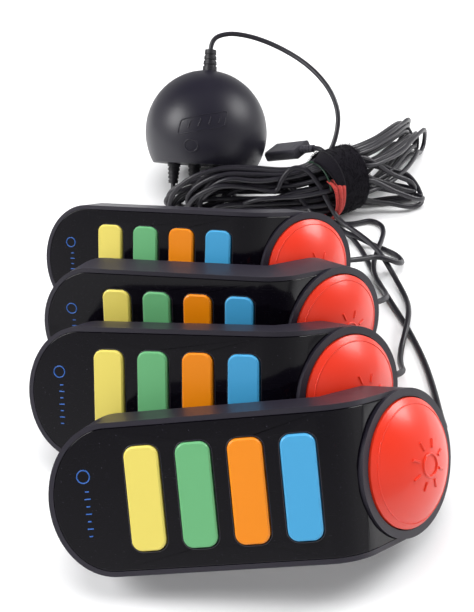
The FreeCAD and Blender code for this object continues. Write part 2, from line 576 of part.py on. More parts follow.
# ---- cords ------------------------------------------------------------------------
def cord_tube(points, diameter, label):
    """Round tube along straight runs joined by tangent arcs; prints its tightest arc and its volume."""
    points = [V(*point) for point in points]
    edges, start, tightest = [], points[0], 1e9
    for before, corner, after in zip(points, points[1:], points[2:]):
        arriving, leaving = corner - before, after - corner
        shorter = min(arriving.Length, leaving.Length)
        turn = arriving.getAngle(leaving)
        trim = 0.45 * shorter
        radius = trim / math.tan(turn / 2)
        tightest = min(tightest, radius)
        arriving.normalize()
        leaving.normalize()
        first, last = corner - arriving * trim, corner + leaving * trim
        inward = (leaving - arriving).normalize()
        middle = corner + inward * (radius / math.cos(turn / 2) - radius)
        edges.append(Part.LineSegment(start, first).toShape())
        edges.append(Part.Arc(first, middle, last).toShape())
        start = last
    edges.append(Part.LineSegment(start, points[-1]).toShape())
    path = Part.Wire(edges)
    along = points[1] - points[0]
    circle = Part.Wire(Part.makeCircle(diameter / 2, points[0], along))
    tube = path.makePipeShell([circle], True, False)
    ideal = math.pi * diameter ** 2 / 4 * path.Length
    print(f"{label}: length {path.Length:.0f} mm, tightest arc {tightest:.1f} mm, volume {tube.Volume / ideal:.3f}")
    return tube


def gland_tip(place):
    """Centre of a buzzer relief's end, and the way it points."""
    frame = place.multiply(head_frame())
    tip = frame.multVec(V(CASE_WIDTH / 2 + GLAND_LENGTH, 0, -SPLIT_DEPTH))
    return tip, frame.Rotation.multVec(V(1, 0, 0))


def ahead(start, way, distance):
    """Point a distance out from an exit."""
    return tuple(start + way * distance)


# Floor stretches of the buzzers' cords, nearest buzzer first, from its relief to the bundle.
CORD_ROUTES = (
    ((116.5, -99.0, 3.6), (117.5, -77.0, 2.0), (116.5, -53.0, 2.0), (112.0, -26.0, 2.0), (105.0, 2.0, 2.0),
     (98.5, 29.0, 2.0), (94.8, 54.0, 2.0), (88.5, 73.0, 2.6), (78.0, 83.0, 4.5), (67.0, 88.0, 7.0),
     (60.0, 97.0, 10.0)),
    ((100.5, -60.0, 6.0), (104.0, -45.0, 3.6), (109.0, -31.0, 6.4), (113.5, -16.0, 6.4), (116.0, 2.0, 2.4),
     (112.0, 22.0, 3.4), (104.5, 41.0, 9.9), (97.0, 56.0, 10.9), (88.0, 70.0, 10.5), (79.0, 79.0, 12.5),
     (72.0, 88.0, 21.0), (65.0, 97.0, 32.0), (56.0, 101.5, 41.0), (46.0, 101.5, 42.0), (39.0, 99.0, 34.0),
     (36.0, 97.0, 23.0)),
    ((101.0, -2.0, 11.0), (98.5, 14.0, 6.5), (97.3, 32.0, 6.0), (103.5, 51.0, 6.4), (108.5, 64.0, 6.6),
     (112.0, 77.0, 3.6), (112.5, 88.0, 2.2), (105.0, 94.5, 2.2), (96.0, 90.5, 2.2), (86.0, 88.2, 2.4),
     (75.0, 91.0, 3.0), (62.0, 101.0, 6.0)),
    ((97.5, 33.0, 14.0), (106.5, 32.5, 12.6), (114.5, 33.0, 8.4), (120.0, 41.0, 3.0), (117.5, 51.0, 2.2),
     (109.0, 58.5, 2.0), (100.5, 63.2, 3.0), (91.0, 67.5, 6.3), (81.5, 72.5, 7.0), (72.0, 79.0, 8.0),
     (63.0, 85.0, 11.0), (55.0, 97.0, 16.0)),
)
EXIT_RUN = 14.0            # straight out of a relief
# From a hub outlet's tip to the hank: across, forward, and above the cord's height on the table.
OUTLET_ROUTE = ((0.5, -10.0, 0.0), (5.0, -18.0, 1.5), (12.0, -26.0, 5.0))
OUTLET_EXIT_RUN = 3.5


def make_buzzer_cord(place, route, outlet, label):
    """Two stretches of one cord: relief to bundle, and bundle to the hub's outlet."""
    tip, way = gland_tip(place)
    floor = cord_tube([tuple(tip), ahead(tip, way, EXIT_RUN)] + list(route), CORD_DIAMETER, label)
    hub = hub_place()
    end = hub.multVec(V(outlet, 0, -HUB_CUT - OUTLET_LENGTH))
    down = hub.Rotation.multVec(V(0, 0, -1))
    low = CORD_DIAMETER / 2 + 0.3
    points = [tuple(end), ahead(end, down, OUTLET_EXIT_RUN)]
    points += [(end.x + x, end.y + y, low + z) for x, y, z in OUTLET_ROUTE]
    outlet_stretch = cord_tube(points, CORD_DIAMETER, label + " at the hub")
    return group([floor, outlet_stretch])


LEAD_ROUTE = ((0.0, 192.5, 103.5), (14.0, 191.0, 102.5), (28.5, 187.0, 99.5), (42.5, 180.0, 95.5),
              (56.0, 169.5, 91.0), (67.5, 157.0, 85.0), (76.0, 145.5, 77.0), (80.5, 135.5, 66.5),
              (79.5, 127.5, 55.0), (75.0, 121.0, 43.0))
LEAD_EXIT_RUN = 8.0
LEAD_NECK_RUN = 6.5
LEAD_PLUG_END = (72.0, 117.0, 42.0)    # under the strap


def make_usb_lead():
    """Arch from the hub's top to the bundle, and the short end from the bundle to the plug."""
    hub = hub_place()
    end = hub.multVec(V(0, 0, HUB_RADIUS + LEAD_GLAND_LENGTH))
    up = hub.Rotation.multVec(V(0, 0, 1))
    arch = cord_tube([tuple(end), ahead(end, up, LEAD_EXIT_RUN)] + list(LEAD_ROUTE), CORD_DIAMETER, "lead")
    plug = plug_place()
    back = plug.Rotation.multVec(V(-1, 0, 0))
    tail = cord_tube([tuple(plug.Base), ahead(plug.Base, back, LEAD_NECK_RUN), LEAD_PLUG_END], CORD_DIAMETER,
                     "lead at the plug")
    return group([arch, tail])


# ---- hank, strap, tie and plug ------------------------------------------------------
def bundle_core(grow, length, offset=0.0):
    """Oval bar along the bundle's direction, with room for the strap between it and the table."""
    tall, wide = BUNDLE_HEIGHT / 2 + grow, BUNDLE_WIDTH / 2 + grow
    oval = Part.Face(Part.Wire(Part.Ellipse(V(0, 0, 0), max(tall, wide), min(tall, wide)).toShape()))
    bar = oval.extrude(V(0, 0, length))
    stand = FreeCAD.Rotation(V(0, 1, 0), 90)
    if wide > tall:
        stand = stand.multiply(FreeCAD.Rotation(V(0, 0, 1), 90))
    lie = FreeCAD.Placement(V(offset - length / 2, 0, 0), stand)
    centre = V(STRAP_PLACE[0], STRAP_PLACE[1], BUNDLE_HEIGHT / 2 + STRAP_THICKNESS)
    bar.Placement = FreeCAD.Placement(centre, FreeCAD.Rotation(V(0, 0, 1), STRAP_TURN)).multiply(lie)
    return bar


def lobe(corners, height):
    """Flat-bottomed lobe of the hank with rounded upright edges."""
    points = [V(x, y, 0) for x, y in corners]
    face = Part.Face(Part.makePolygon(points + points[:1]))
    block = face.extrude(V(0, 0, height))
    top = [edge for edge in block.Edges if min(v.Point.z for v in edge.Vertexes) > height - 0.01]
    return block.makeChamfer(LOBE_ROUND, top)


def make_cord_hank():
    sleeve = bundle_core(STRAP_THICKNESS + 0.01, STRAP_WIDTH).fuse(
        bundle_core(TIE_THICKNESS + 0.01, TIE_WIDTH, -STRAP_WIDTH / 2 - TIE_OFFSET - TIE_WIDTH / 2))
    lobes = lobe(LEFT_LOBE, LEFT_LOBE_HEIGHT).fuse(lobe(RIGHT_LOBE, RIGHT_LOBE_HEIGHT)).cut(sleeve)
    return lobes.fuse(bundle_core(0, STRAP_WIDTH + 16)).removeSplitter()


def make_strap():
    return bundle_core(STRAP_THICKNESS, STRAP_WIDTH).cut(bundle_core(0, STRAP_WIDTH + 1))


def make_tie():
    offset = -STRAP_WIDTH / 2 - TIE_OFFSET - TIE_WIDTH / 2
    return bundle_core(TIE_THICKNESS, TIE_WIDTH, offset).cut(bundle_core(0, TIE_WIDTH + 1, offset))


def plug_place():
    """The plug lies on its lead; its own x runs from the neck's end to the metal end."""
    spin = (FreeCAD.Rotation(V(0, 0, 1), PLUG_TURN).multiply(FreeCAD.Rotation(V(0, 1, 0), PLUG_DROOP))
            .multiply(FreeCAD.Rotation(V(1, 0, 0), PLUG_ROLL)))
    return FreeCAD.Placement(V(*PLUG_PLACE), spin)


def plug_block(length, width, height, start):
    return Part.makeBox(length, width, height, V(start, -width / 2, -height / 2))


def plug_housing(length, start):
    """Stretch of the plug's outside, its long edges rounded."""
    block = plug_block(length, PLUG_WIDTH, PLUG_HEIGHT, start)
    long_edges = [e for e in block.Edges if abs(e.Vertexes[0].Point.x - e.Vertexes[1].Point.x) > length / 2]
    return block.makeFillet(PLUG_ROUND, long_edges)


def make_plug_body():
    """Overmould and ribbed neck, with the metal end's seat."""
    end = PLUG_NECK_LENGTH + PLUG_LENGTH
    neck = ribbed_cone(PLUG_NECK_RADIUS, GLAND_TIP_RADIUS, PLUG_NECK_LENGTH, 3, 0)
    neck.Placement = FreeCAD.Placement(V(PLUG_NECK_LENGTH, 0, 0), FreeCAD.Rotation(V(0, 1, 0), -90))
    seat = plug_block(PLUG_SEAT, PLUG_SHELL_WIDTH, PLUG_SHELL_HEIGHT, end - PLUG_SEAT)
    return plug_housing(PLUG_LENGTH, PLUG_NECK_LENGTH).fuse(neck).cut(seat).removeSplitter()


def make_plug_shell():
    """Metal sleeve with the contact tongue inside it."""
    start = PLUG_NECK_LENGTH + PLUG_LENGTH - PLUG_SEAT
    length = PLUG_SHELL_LENGTH + PLUG_SEAT
    wall = PLUG_SHELL_WALL
    sleeve = plug_block(length, PLUG_SHELL_WIDTH, PLUG_SHELL_HEIGHT, start)
    inside = plug_block(length, PLUG_SHELL_WIDTH - 2 * wall, PLUG_SHELL_HEIGHT - 2 * wall, start + wall)
    tongue = Part.makeBox(length - 1, PLUG_SHELL_WIDTH - 2 * wall, PLUG_TONGUE,
                          V(start, -PLUG_SHELL_WIDTH / 2 + wall, -PLUG_SHELL_HEIGHT / 2 + wall))
    return sleeve.cut(inside).fuse(tongue).removeSplitter()


def make_plug_cap():
    """Push-on cover over the metal end."""
    start = PLUG_NECK_LENGTH + PLUG_LENGTH
    pocket = plug_block(PLUG_SHELL_LENGTH + FIT, PLUG_SHELL_WIDTH + 2 * FIT, PLUG_SHELL_HEIGHT + 2 * FIT, start)
    return plug_housing(PLUG_CAP_LENGTH, start).cut(pocket).removeSplitter()


def build():
    os.makedirs("parts", exist_ok=True)
    static = {"base_cover": make_base_cover(), "top_cover": make_top_cover(), "face_plate": make_face_plate(),
              "dome_button": make_dome_button(), "keypad_mat": make_keypad_mat(),
              "circuit_board": make_circuit_board()}
    for index, colour in enumerate(BUTTON_COLOURS):
        static[f"{colour}_button"] = make_answer_button(index)
    gland, screws = make_buzzer_gland(), make_case_screws()
    places = stances()
    all_screws, glands = [], []
    for number, place in enumerate(places, 1):
        for name, shape in static.items():
            save(f"{name}_{number}", placed(shape, place))
        all_screws += [placed(screw, place) for screw in screws]
        glands.append(placed(gland, place))
        outlet = outlet_places()[4 - number]
        save(f"buzzer_cord_{number}", make_buzzer_cord(place, CORD_ROUTES[number - 1], outlet, f"cord {number}"))
    save("case_screws", group(all_screws))
    save("buzzer_glands", group(glands))

    hub = hub_place()
    for name, shape in (("hub_dome", make_hub_dome()), ("hub_base", make_hub_base()),
                        ("hub_board", make_hub_board()), ("hub_lead_gland", make_hub_lead_gland())):
        save(name, placed(shape, hub))
    save("hub_outlet_glands", group([placed(gland, hub) for gland in make_hub_outlets()]))
    save("hub_screws", group([placed(screw, hub) for screw in make_hub_screws()]))
    save("usb_lead", make_usb_lead())
    save("cord_hank", make_cord_hank())
    save("strap", make_strap())
    save("hank_tie", make_tie())
    save("plug_body", placed(make_plug_body(), plug_place()))
    save("plug_shell", placed(make_plug_shell(), plug_place()))
    save("plug_cap", placed(make_plug_cap(), plug_place()))


build()
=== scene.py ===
"""Looks of the wired quiz buzzer set: finishes, free cords, hank, strap, tie, marks, light and camera.

Lengths are written in millimetres and turned into metres by mm() and MM.
"""
import bpy
import json
import math
import random
from mathutils import Matrix, Vector


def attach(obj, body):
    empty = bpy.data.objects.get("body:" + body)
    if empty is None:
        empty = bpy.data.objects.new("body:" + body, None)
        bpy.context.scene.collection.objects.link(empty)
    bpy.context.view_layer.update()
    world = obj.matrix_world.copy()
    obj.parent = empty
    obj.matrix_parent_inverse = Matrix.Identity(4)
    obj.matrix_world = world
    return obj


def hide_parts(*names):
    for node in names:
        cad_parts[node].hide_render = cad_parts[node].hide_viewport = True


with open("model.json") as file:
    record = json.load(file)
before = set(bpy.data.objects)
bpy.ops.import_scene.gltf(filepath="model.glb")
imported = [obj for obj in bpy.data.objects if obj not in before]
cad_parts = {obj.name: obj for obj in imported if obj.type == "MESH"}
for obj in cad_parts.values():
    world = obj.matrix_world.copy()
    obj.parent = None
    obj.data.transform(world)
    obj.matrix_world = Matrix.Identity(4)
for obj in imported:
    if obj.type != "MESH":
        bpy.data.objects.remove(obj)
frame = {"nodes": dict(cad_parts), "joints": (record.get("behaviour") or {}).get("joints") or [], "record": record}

bl_info = {
    "name": "Quiz buzzer set",
    "version": (1, 0, 0),
    "blender": (4, 5, 0),
    "location": "View3D > Sidebar > Quiz Buzzer Set",
    "description": "Dresses the wired quiz buzzer set",
    "category": "Object",
}

MM = 0.001
ROOT = "set"
BUZZERS = (1, 2, 3, 4)
COLOURS = ("yellow", "green", "orange", "blue")

# Sizes repeated from the part's design, in millimetres.
FACE_LEVEL_TO_BUTTON_TOP = 1.7
DOME_TOP = 12.2
DOME_RADIUS = 28.8
DOME_RISE = 10.0
CROWN_DEPTH = 0.4          # of the dome's top, whose middle is on its axis
HUB_RADIUS = 46.0
CORD_LOW = 1.75
BUTTON_PITCH, BUTTON_WIDTH, BUTTON_LENGTH = 22.0, 14.6, 44.5
SPLIT_DEPTH = 17.0
CASE_HALF_WIDTH = 33.0
GLAND_LENGTH = 12.0
HUB_CENTRE = (-16.0, 155.0, 40.84)
HUB_ROLL, HUB_TILT = 4.0, 30.92
OUTLET_PITCH = 15.6
OUTLET_DEPTH = 39.0
LEAD_GLAND_LENGTH = 15.0
STRAP_CENTRE = (81.0, 112.0, 24.6)
STRAP_TURN = 32.0
STRAP_HALF_WIDTH = 11.0
BUNDLE_HALF = (21.0, 23.0)
PLUG_NECK_END = (63.5, 128.0, 42.5)
PLUG_TURN, PLUG_DROOP, PLUG_ROLL = 135.0, 25.0, -9.0

# Sizes of what is only dressed on, in millimetres unless a comment says otherwise.
RIM_LINE_INSET, RIM_LINE_HALF = 2.4, 0.35
DOME_MARK_HALF, DOME_MARK_LIFT = 0.55, 0.15
DOME_MARK_RAYS, DOME_MARK_RING = 8, 5
DOME_MARK_RAY = (7.5, 9.5, 11.5)        # distances from the dome's axis
WELL_GAP, WELL_CORNER = 0.75, 5.2
WELL_LINE_HALF, WELL_LINE_DROP = 0.3, 0.12
PRINT_LINE_HALF, PRINT_LIFT = 0.3, 0.02
PRINT_RING_AT, PRINT_RING = (-26, 11), 2.8
PRINT_DASHES, PRINT_DASH_AT, PRINT_DASH_PITCH = 7, (-25, 4.5), 3.2
PRINT_DASH_HALVES = (0.8, 1.3)          # half lengths, in turn
MARK_CORNERS = ((-26, -6), (16, 3), (19, 17), (-23, 7))     # degrees on the hub's ball
MARK_BARS, MARK_SLANT = (-17, -8, 1, 10), 0.215             # degrees, degrees per degree
MARK_RING_AT, MARK_RING = (-13, -15), (6.5, 5.5)            # degrees
PILE_LOOPS = 1400
PILE_THREAD_HALF = 0.11
PILE_SPREAD = 1.2
FLAP_FROM, FLAP_TO, FLAP_REACH = 66.0, 215.0, 14.0          # degrees, degrees, millimetres
FLAP_STEPS_ROUND, FLAP_STEPS_ACROSS, FLAP_STEPS_ROOT = 22, 6, 4
FLAP_THICKNESS, FLAP_TIP_WIDTH = 1.2, 0.6
TAPE_TURNS = ((-13.4, -1.6, 1.0), (-15.4, 0.4, 1.5), (-17.2, 2.4, 0.9))     # place, tilt, lift
TAPE_HALF_WIDTH, TAPE_CROWN, TAPE_BOW, TAPE_DIVE, TAPE_THICKNESS = 1.5, 0.35, 1.2, 5.0, 0.7
TAPE_STEPS = 14
TAPE_FROM, TAPE_SWEEP = 140, 118        # degrees
TWIST_TIE_HALF, TWIST_TIE_OFFSET, TWIST_TIE_SINK, TWIST_TIE_WAVE = 0.6, 9, 3, 3.5 * 0.2
PLUG_LINES_AT, PLUG_LINE_HALF = (14.5, 17.5, 40.0), 0.22
PLUG_HALF_WIDTH, PLUG_HALF_HEIGHT = 8.8, 3.85
PLUG_FLAT_WIDTH, PLUG_FLAT_HEIGHT = 6.6, 2.4                # where its rounded corners start

# How the cords lie.
STRAND_SEED = 7
LEAST_RUN = 3.0
HANK_RUN = 10.0            # least distance between a strand's guide points in the hank
TURN_WIDTH = 24.0          # least width of a loop's turn
JOIN_GAP = 9.0             # how far left of its route's end a cord joins the hank
PASSAGE_OVERHANG = 4.0     # past the strap's edges
LOW_EVERY = 3              # every third right-hand loop is a low one
OUTLET_LIFT = 0.3
BUNDLE_GAP = 0.5           # between the outer strands and the strap

# Camera, floor and lights, in metres, degrees and watts.
CAMERA_PLACE = (7.3, -373.4, 310)      # millimetres
CAMERA_PITCH, CAMERA_LENS = 50.2, 44.7
FLOOR_HALF = 6.0
SUBJECT = (0, 0.05, 0.03)
LIGHTS = (                 # name, place, target, size, watts, shows in reflections
    ("left softbox", (-0.8, -0.1, 0.62), SUBJECT, (0.45, 0.45), 7, True),
    ("right softbox", (0.85, 0.3, 0.7), SUBJECT, (0.45, 0.45), 7, True),
    ("top softbox", (0.0, 0.25, 1.3), (0, 0.1, 0), (1.2, 0.9), 15, False),
    ("front softbox", (0.1, -1.1, 0.9), (0, -0.05, 0), (1.4, 0.8), 4.5, False),
)


def mm(*values):
    """Point or vector from millimetres."""
    return Vector([value * MM for value in values])


def linear(hexcode):
    """Linear RGBA from an sRGB hex colour."""
    channels = [int(hexcode[i:i + 2], 16) / 255 for i in (1, 3, 5)]
    return [c / 12.92 if c <= 0.04045 else ((c + 0.055) / 1.055) ** 2.4 for c in channels] + [1.0]


# ---- settings ------------------------------------------------------------------------
class BuzzerSetSizes(bpy.types.PropertyGroup):
    """Sizes that the dressing uses, in millimetres."""
    cord_diameter: bpy.props.FloatProperty(default=3.5, min=2.0, max=6.0)
    cord_length: bpy.props.FloatProperty(default=1700.0, min=500.0, max=4000.0)
    lead_length: bpy.props.FloatProperty(default=1600.0, min=500.0, max=4000.0)
    cord_turns: bpy.props.IntProperty(default=3, min=1, max=6)
    edge_round: bpy.props.FloatProperty(default=0.35, min=0.05, max=1.0)
    mark_width: bpy.props.FloatProperty(default=0.5, min=0.1, max=2.0)


class BuzzerSetColours(bpy.types.PropertyGroup):
    """sRGB colours of the finishes."""
    yellow: bpy.props.StringProperty(default="#E3D264")
    green: bpy.props.StringProperty(default="#66AF76")
    orange: bpy.props.StringProperty(default="#EC8700")
    blue: bpy.props.StringProperty(default="#42A0D3")
    red: bpy.props.StringProperty(default="#E4341C")
    case: bpy.props.StringProperty(default="#26232D")
    face: bpy.props.StringProperty(default="#07050C")
    hub: bpy.props.StringProperty(default="#191722")
    cord: bpy.props.StringProperty(default="#1D1B22")
    strap: bpy.props.StringProperty(default="#0B0810")
    tie: bpy.props.StringProperty(default="#B8443F")
    print_blue: bpy.props.StringProperty(default="#2B5FB0")


def sizes():
    return bpy.context.scene.buzzer_set_sizes


def colours():
    return bpy.context.scene.buzzer_set_colours


# ---- finishes ------------------------------------------------------------------------
def new_material(name):
    """Material with its shader, object coordinates and a node maker."""
    made = bpy.data.materials.new(name)
    made.use_nodes = True
    tree = made.node_tree
    shader = tree.nodes["Principled BSDF"]
    place = tree.nodes.new("ShaderNodeTexCoord")
    return made, tree, shader, place


def noise(tree, place, grain_mm, detail=3.0):
    """Noise whose grains are about this size."""
    node = tree.nodes.new("ShaderNodeTexNoise")
    node.inputs["Scale"].default_value = 1 / (grain_mm * MM)
    node.inputs["Detail"].default_value = detail
    tree.links.new(place.outputs["Object"], node.inputs["Vector"])
    return node


def ramp(tree, source, low, high, start, end):
    """Map a value from low..high to start..end."""
    node = tree.nodes.new("ShaderNodeMapRange")
    node.inputs["From Min"].default_value = low
    node.inputs["From Max"].default_value = high
    node.inputs["To Min"].default_value = start
    node.inputs["To Max"].default_value = end
    tree.links.new(source, node.inputs["Value"])
    return node.outputs["Result"]


def bump(tree, shader, height, depth_mm, strength=1.0):
    node = tree.nodes.new("ShaderNodeBump")
    node.inputs["Strength"].default_value = strength
    node.inputs["Distance"].default_value = depth_mm * MM
    tree.links.new(height, node.inputs["Height"])
    tree.links.new(node.outputs["Normal"], shader.inputs["Normal"])


def mottle(tree, shader, source, colour, other, low=0.35, high=0.65):
    """Base colour that drifts between two colours."""
    mix = tree.nodes.new("ShaderNodeMix")
    mix.data_type = "RGBA"
    mix.inputs["A"].default_value = linear(colour)
    mix.inputs["B"].default_value = linear(other)
    tree.links.new(ramp(tree, source, low, high, 0, 1), mix.inputs["Factor"])
    tree.links.new(mix.outputs["Result"], shader.inputs["Base Color"])


def moulded(name, colour, roughness, grain_mm=0.35, depth_mm=0.01, coat=0.0):
    """Injection-moulded plastic: even colour, fine spark-eroded texture, slightly uneven sheen."""
    made, tree, shader, place = new_material(name)
    shader.inputs["Base Color"].default_value = linear(colour)
    shader.inputs["Coat Weight"].default_value = coat
    shader.inputs["Coat Roughness"].default_value = 0.12
    texture = noise(tree, place, grain_mm)
    handling = noise(tree, place, 30.0)
    tree.links.new(ramp(tree, handling.outputs["Fac"], 0.3, 0.7, roughness - 0.04, roughness + 0.05),
                   shader.inputs["Roughness"])
    bump(tree, shader, texture.outputs["Fac"], depth_mm, 0.5)
    return made


def glossy_face(name, colour):
    """Polished styrene plate with hairline scratches and a little dust."""
    made, tree, shader, place = new_material(name)
    shader.inputs["Coat Weight"].default_value = 0.2
    shader.inputs["Specular IOR Level"].default_value = 0.3
    shader.inputs["Coat Roughness"].default_value = 0.05
    stretch = tree.nodes.new("ShaderNodeMapping")
    stretch.inputs["Rotation"].default_value = (0.4, 0.3, 0.7)
    stretch.inputs["Scale"].default_value = (1 / (60 * MM), 1 / (0.35 * MM), 1 / (0.6 * MM))
    tree.links.new(place.outputs["Object"], stretch.inputs["Vector"])
    hairs = tree.nodes.new("ShaderNodeTexNoise")
    hairs.inputs["Scale"].default_value = 1.0
    hairs.inputs["Detail"].default_value = 1.0
    tree.links.new(stretch.outputs["Vector"], hairs.inputs["Vector"])
    tree.links.new(ramp(tree, hairs.outputs["Fac"], 0.66, 0.74, 0.12, 0.38), shader.inputs["Roughness"])
    dust = noise(tree, place, 0.8, 1.0)
    mottle(tree, shader, dust.outputs["Fac"], colour, "#3A3842", 0.74, 0.82)
    bump(tree, shader, hairs.outputs["Fac"], 0.004, 0.3)
    return made


def cord_jacket(name, colour):
    """Extruded jacket: semi-gloss with a faint lengthwise unevenness."""
    made, tree, shader, place = new_material(name)
    shader.inputs["Base Color"].default_value = linear(colour)
    shader.inputs["Roughness"].default_value = 0.42
    shader.inputs["Coat Weight"].default_value = 0.15
    shader.inputs["Coat Roughness"].default_value = 0.25
    bump(tree, shader, noise(tree, place, 1.2).outputs["Fac"], 0.03, 0.4)
    return made


def fibres(name, colour, lighter, grain_mm):
    """Loop or woven tape: rough, with a little sheen and fibre ends of another shade."""
    made, tree, shader, place = new_material(name)
    shader.inputs["Roughness"].default_value = 0.95
    shader.inputs["Specular IOR Level"].default_value = 0.08
    shader.inputs["Sheen Weight"].default_value = 0.04
    shader.inputs["Sheen Roughness"].default_value = 0.6
    grains = noise(tree, place, grain_mm, 4.0)
    mottle(tree, shader, grains.outputs["Fac"], colour, lighter, 0.45, 0.75)
    bump(tree, shader, grains.outputs["Fac"], grain_mm / 2, 1.0)
    return made


def plated(name, colour):
    """Nickel-plated or bare steel, lightly brushed."""
    made, tree, shader, place = new_material(name)
    shader.inputs["Base Color"].default_value = linear(colour)
    shader.inputs["Metallic"].default_value = 1.0
    grains = noise(tree, place, 0.4)
    tree.links.new(ramp(tree, grains.outputs["Fac"], 0.3, 0.7, 0.22, 0.34), shader.inputs["Roughness"])
    return made


def make_finishes():
    """One material for each of the record's slots, and those of the extra pieces."""
    tint = colours()
    made = {
        "satin_black": moulded("satin black ABS", tint.case, roughness=0.42),
        "gloss_black": glossy_face("polished black plate", tint.face),
        "red_gloss": moulded("glossy red ABS", tint.red, roughness=0.34, grain_mm=0.5, depth_mm=0.006,
                             coat=0.12),
        "silicone": moulded("silicone keypad", "#B9B9B4", roughness=0.6),
        "board_green": moulded("green solder mask", "#1F5B36", roughness=0.35),
        "cord_black": cord_jacket("black PVC cord jacket", tint.cord),
        "screw_steel": plated("plated screw steel", "#9A9A9A"),
        "gland_rubber": moulded("moulded black PVC relief", "#19181D", roughness=0.5),
        "hub_satin": moulded("satin charcoal ABS", tint.hub, roughness=0.4, grain_mm=0.3, depth_mm=0.012),
        "hook_and_loop": fibres("black loop tape", tint.strap, lighter="#1A181D", grain_mm=0.5),
        "tie_red": fibres("woven red tape", tint.tie, lighter="#7E2F2C", grain_mm=0.7),
        "plug_black": moulded("moulded charcoal PVC", "#39373F", roughness=0.5),
        "plug_steel": plated("nickel-plated plug shell", "#B5B5B5"),
    }
    for colour in COLOURS:
        made[f"{colour}_satin"] = moulded(f"satin {colour} ABS", getattr(tint, colour), roughness=0.36,
                                          grain_mm=0.4, depth_mm=0.008, coat=0.1)
    moulded("printed blue ink", tint.print_blue, roughness=0.45)
    moulded("dark green twist tie", "#1C3B2A", roughness=0.5)
    return made


# ---- helpers for pieces ----------------------------------------------------------------
def finish_named(name):
    return bpy.data.materials[name]


def link_object(name, data):
    made = bpy.data.objects.new(name, data)
    bpy.context.scene.collection.objects.link(made)
    return made


def add_piece(name, data, material, body=ROOT):
    """A piece that moves with a body and has one finish."""
    made = link_object(name, data)
    made.data.materials.append(finish_named(material))
    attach(made, body)
    return made


def curve_data(name, radius_mm, resolution=8, bevel_resolution=4):
    data = bpy.data.curves.new(name, "CURVE")
    data.dimensions = "3D"
    data.bevel_depth = radius_mm * MM
    data.bevel_resolution = bevel_resolution
    data.resolution_u = resolution
    data.use_fill_caps = True
    return data


def nurbs(data, points, closed=False):
    """One smooth spline through the neighbourhood of the points, which are in metres."""
    spline = data.splines.new("NURBS")
    spline.points.add(len(points) - 1)
    for point, place in zip(spline.points, points):
        point.co = (*place, 1)
    spline.order_u = 3
    spline.use_cyclic_u = closed
    spline.use_endpoint_u = not closed
    return spline


def circle(radius, step, centre=(0, 0)):
    """Points round a circle or, with two radii, an ellipse; step is in degrees."""
    wide, high = radius if isinstance(radius, tuple) else (radius, radius)
    return [(centre[0] + wide * math.cos(math.radians(a)), centre[1] + high * math.sin(math.radians(a)))
            for a in range(0, 360, step)]


def grid_faces(start, steps, across):
    """Faces of a sheet whose corners are numbered row by row from start."""
    faces = []
    for step in range(steps):
        for row in range(across):
            a = start + step * (across + 1) + row
            faces.append((a, a + 1, a + across + 2, a + across + 1))
    return faces


def sheet(name, corners, faces, thickness_mm, material):
    """A smooth sheet given its thickness by a modifier."""
    data = bpy.data.meshes.new(name)
    data.from_pydata(corners, [], faces)
    for polygon in data.polygons:
        polygon.use_smooth = True
    made = add_piece(name, data, material)
    thick = made.modifiers.new("thickness", "SOLIDIFY")
    thick.thickness = thickness_mm * MM
    return made


def axis_of(joint_name):
    """The way a button's face looks: against the way it is pressed."""
    joint = next(j for j in frame["joints"] if j["name"] == joint_name)
    return -Vector(joint["axis"]).normalized()


def middle(node):
    vertices = frame["nodes"][node].data.vertices
    low = Vector([min(v.co[i] for v in vertices) for i in range(3)])
    high = Vector([max(v.co[i] for v in vertices) for i in range(3)])
    return (low + high) / 2


def turned(along, across, up, origin):
    matrix = Matrix((along, across, up)).transposed().to_4x4()
    matrix.translation = origin
    return matrix


def face_frame(number):
    """Frame on a buzzer's face: x along the handle to the head, z out of the face, in metres."""
    up = axis_of(f"yellow_press_{number}")
    first, last = middle(f"yellow_button_{number}"), middle(f"blue_button_{number}")
    along = (last - first).normalized()
    along = (along - up * along.dot(up)).normalized()
    top = max(v.co.dot(up) for v in frame["nodes"][f"yellow_button_{number}"].data.vertices)
    origin = first + up * (top - first.dot(up) - FACE_LEVEL_TO_BUTTON_TOP * MM)
    return turned(along, up.cross(along), up, origin)


def head_frame(number):
    """Frame on the dome's top: z out along its axis, x the way the head points."""
    up = axis_of(f"dome_press_{number}")
    handle = face_frame(number)
    across = handle.col[1].to_3d()
    vertices = frame["nodes"][f"dome_button_{number}"].data.vertices
    top = max(v.co.dot(up) for v in vertices)
    crown = [v.co for v in vertices if v.co.dot(up) > top - CROWN_DEPTH * MM]
    centre = sum(crown, Vector()) / len(crown)
    centre += up * (top - centre.dot(up))
    return turned(across.cross(up), across, up, centre)


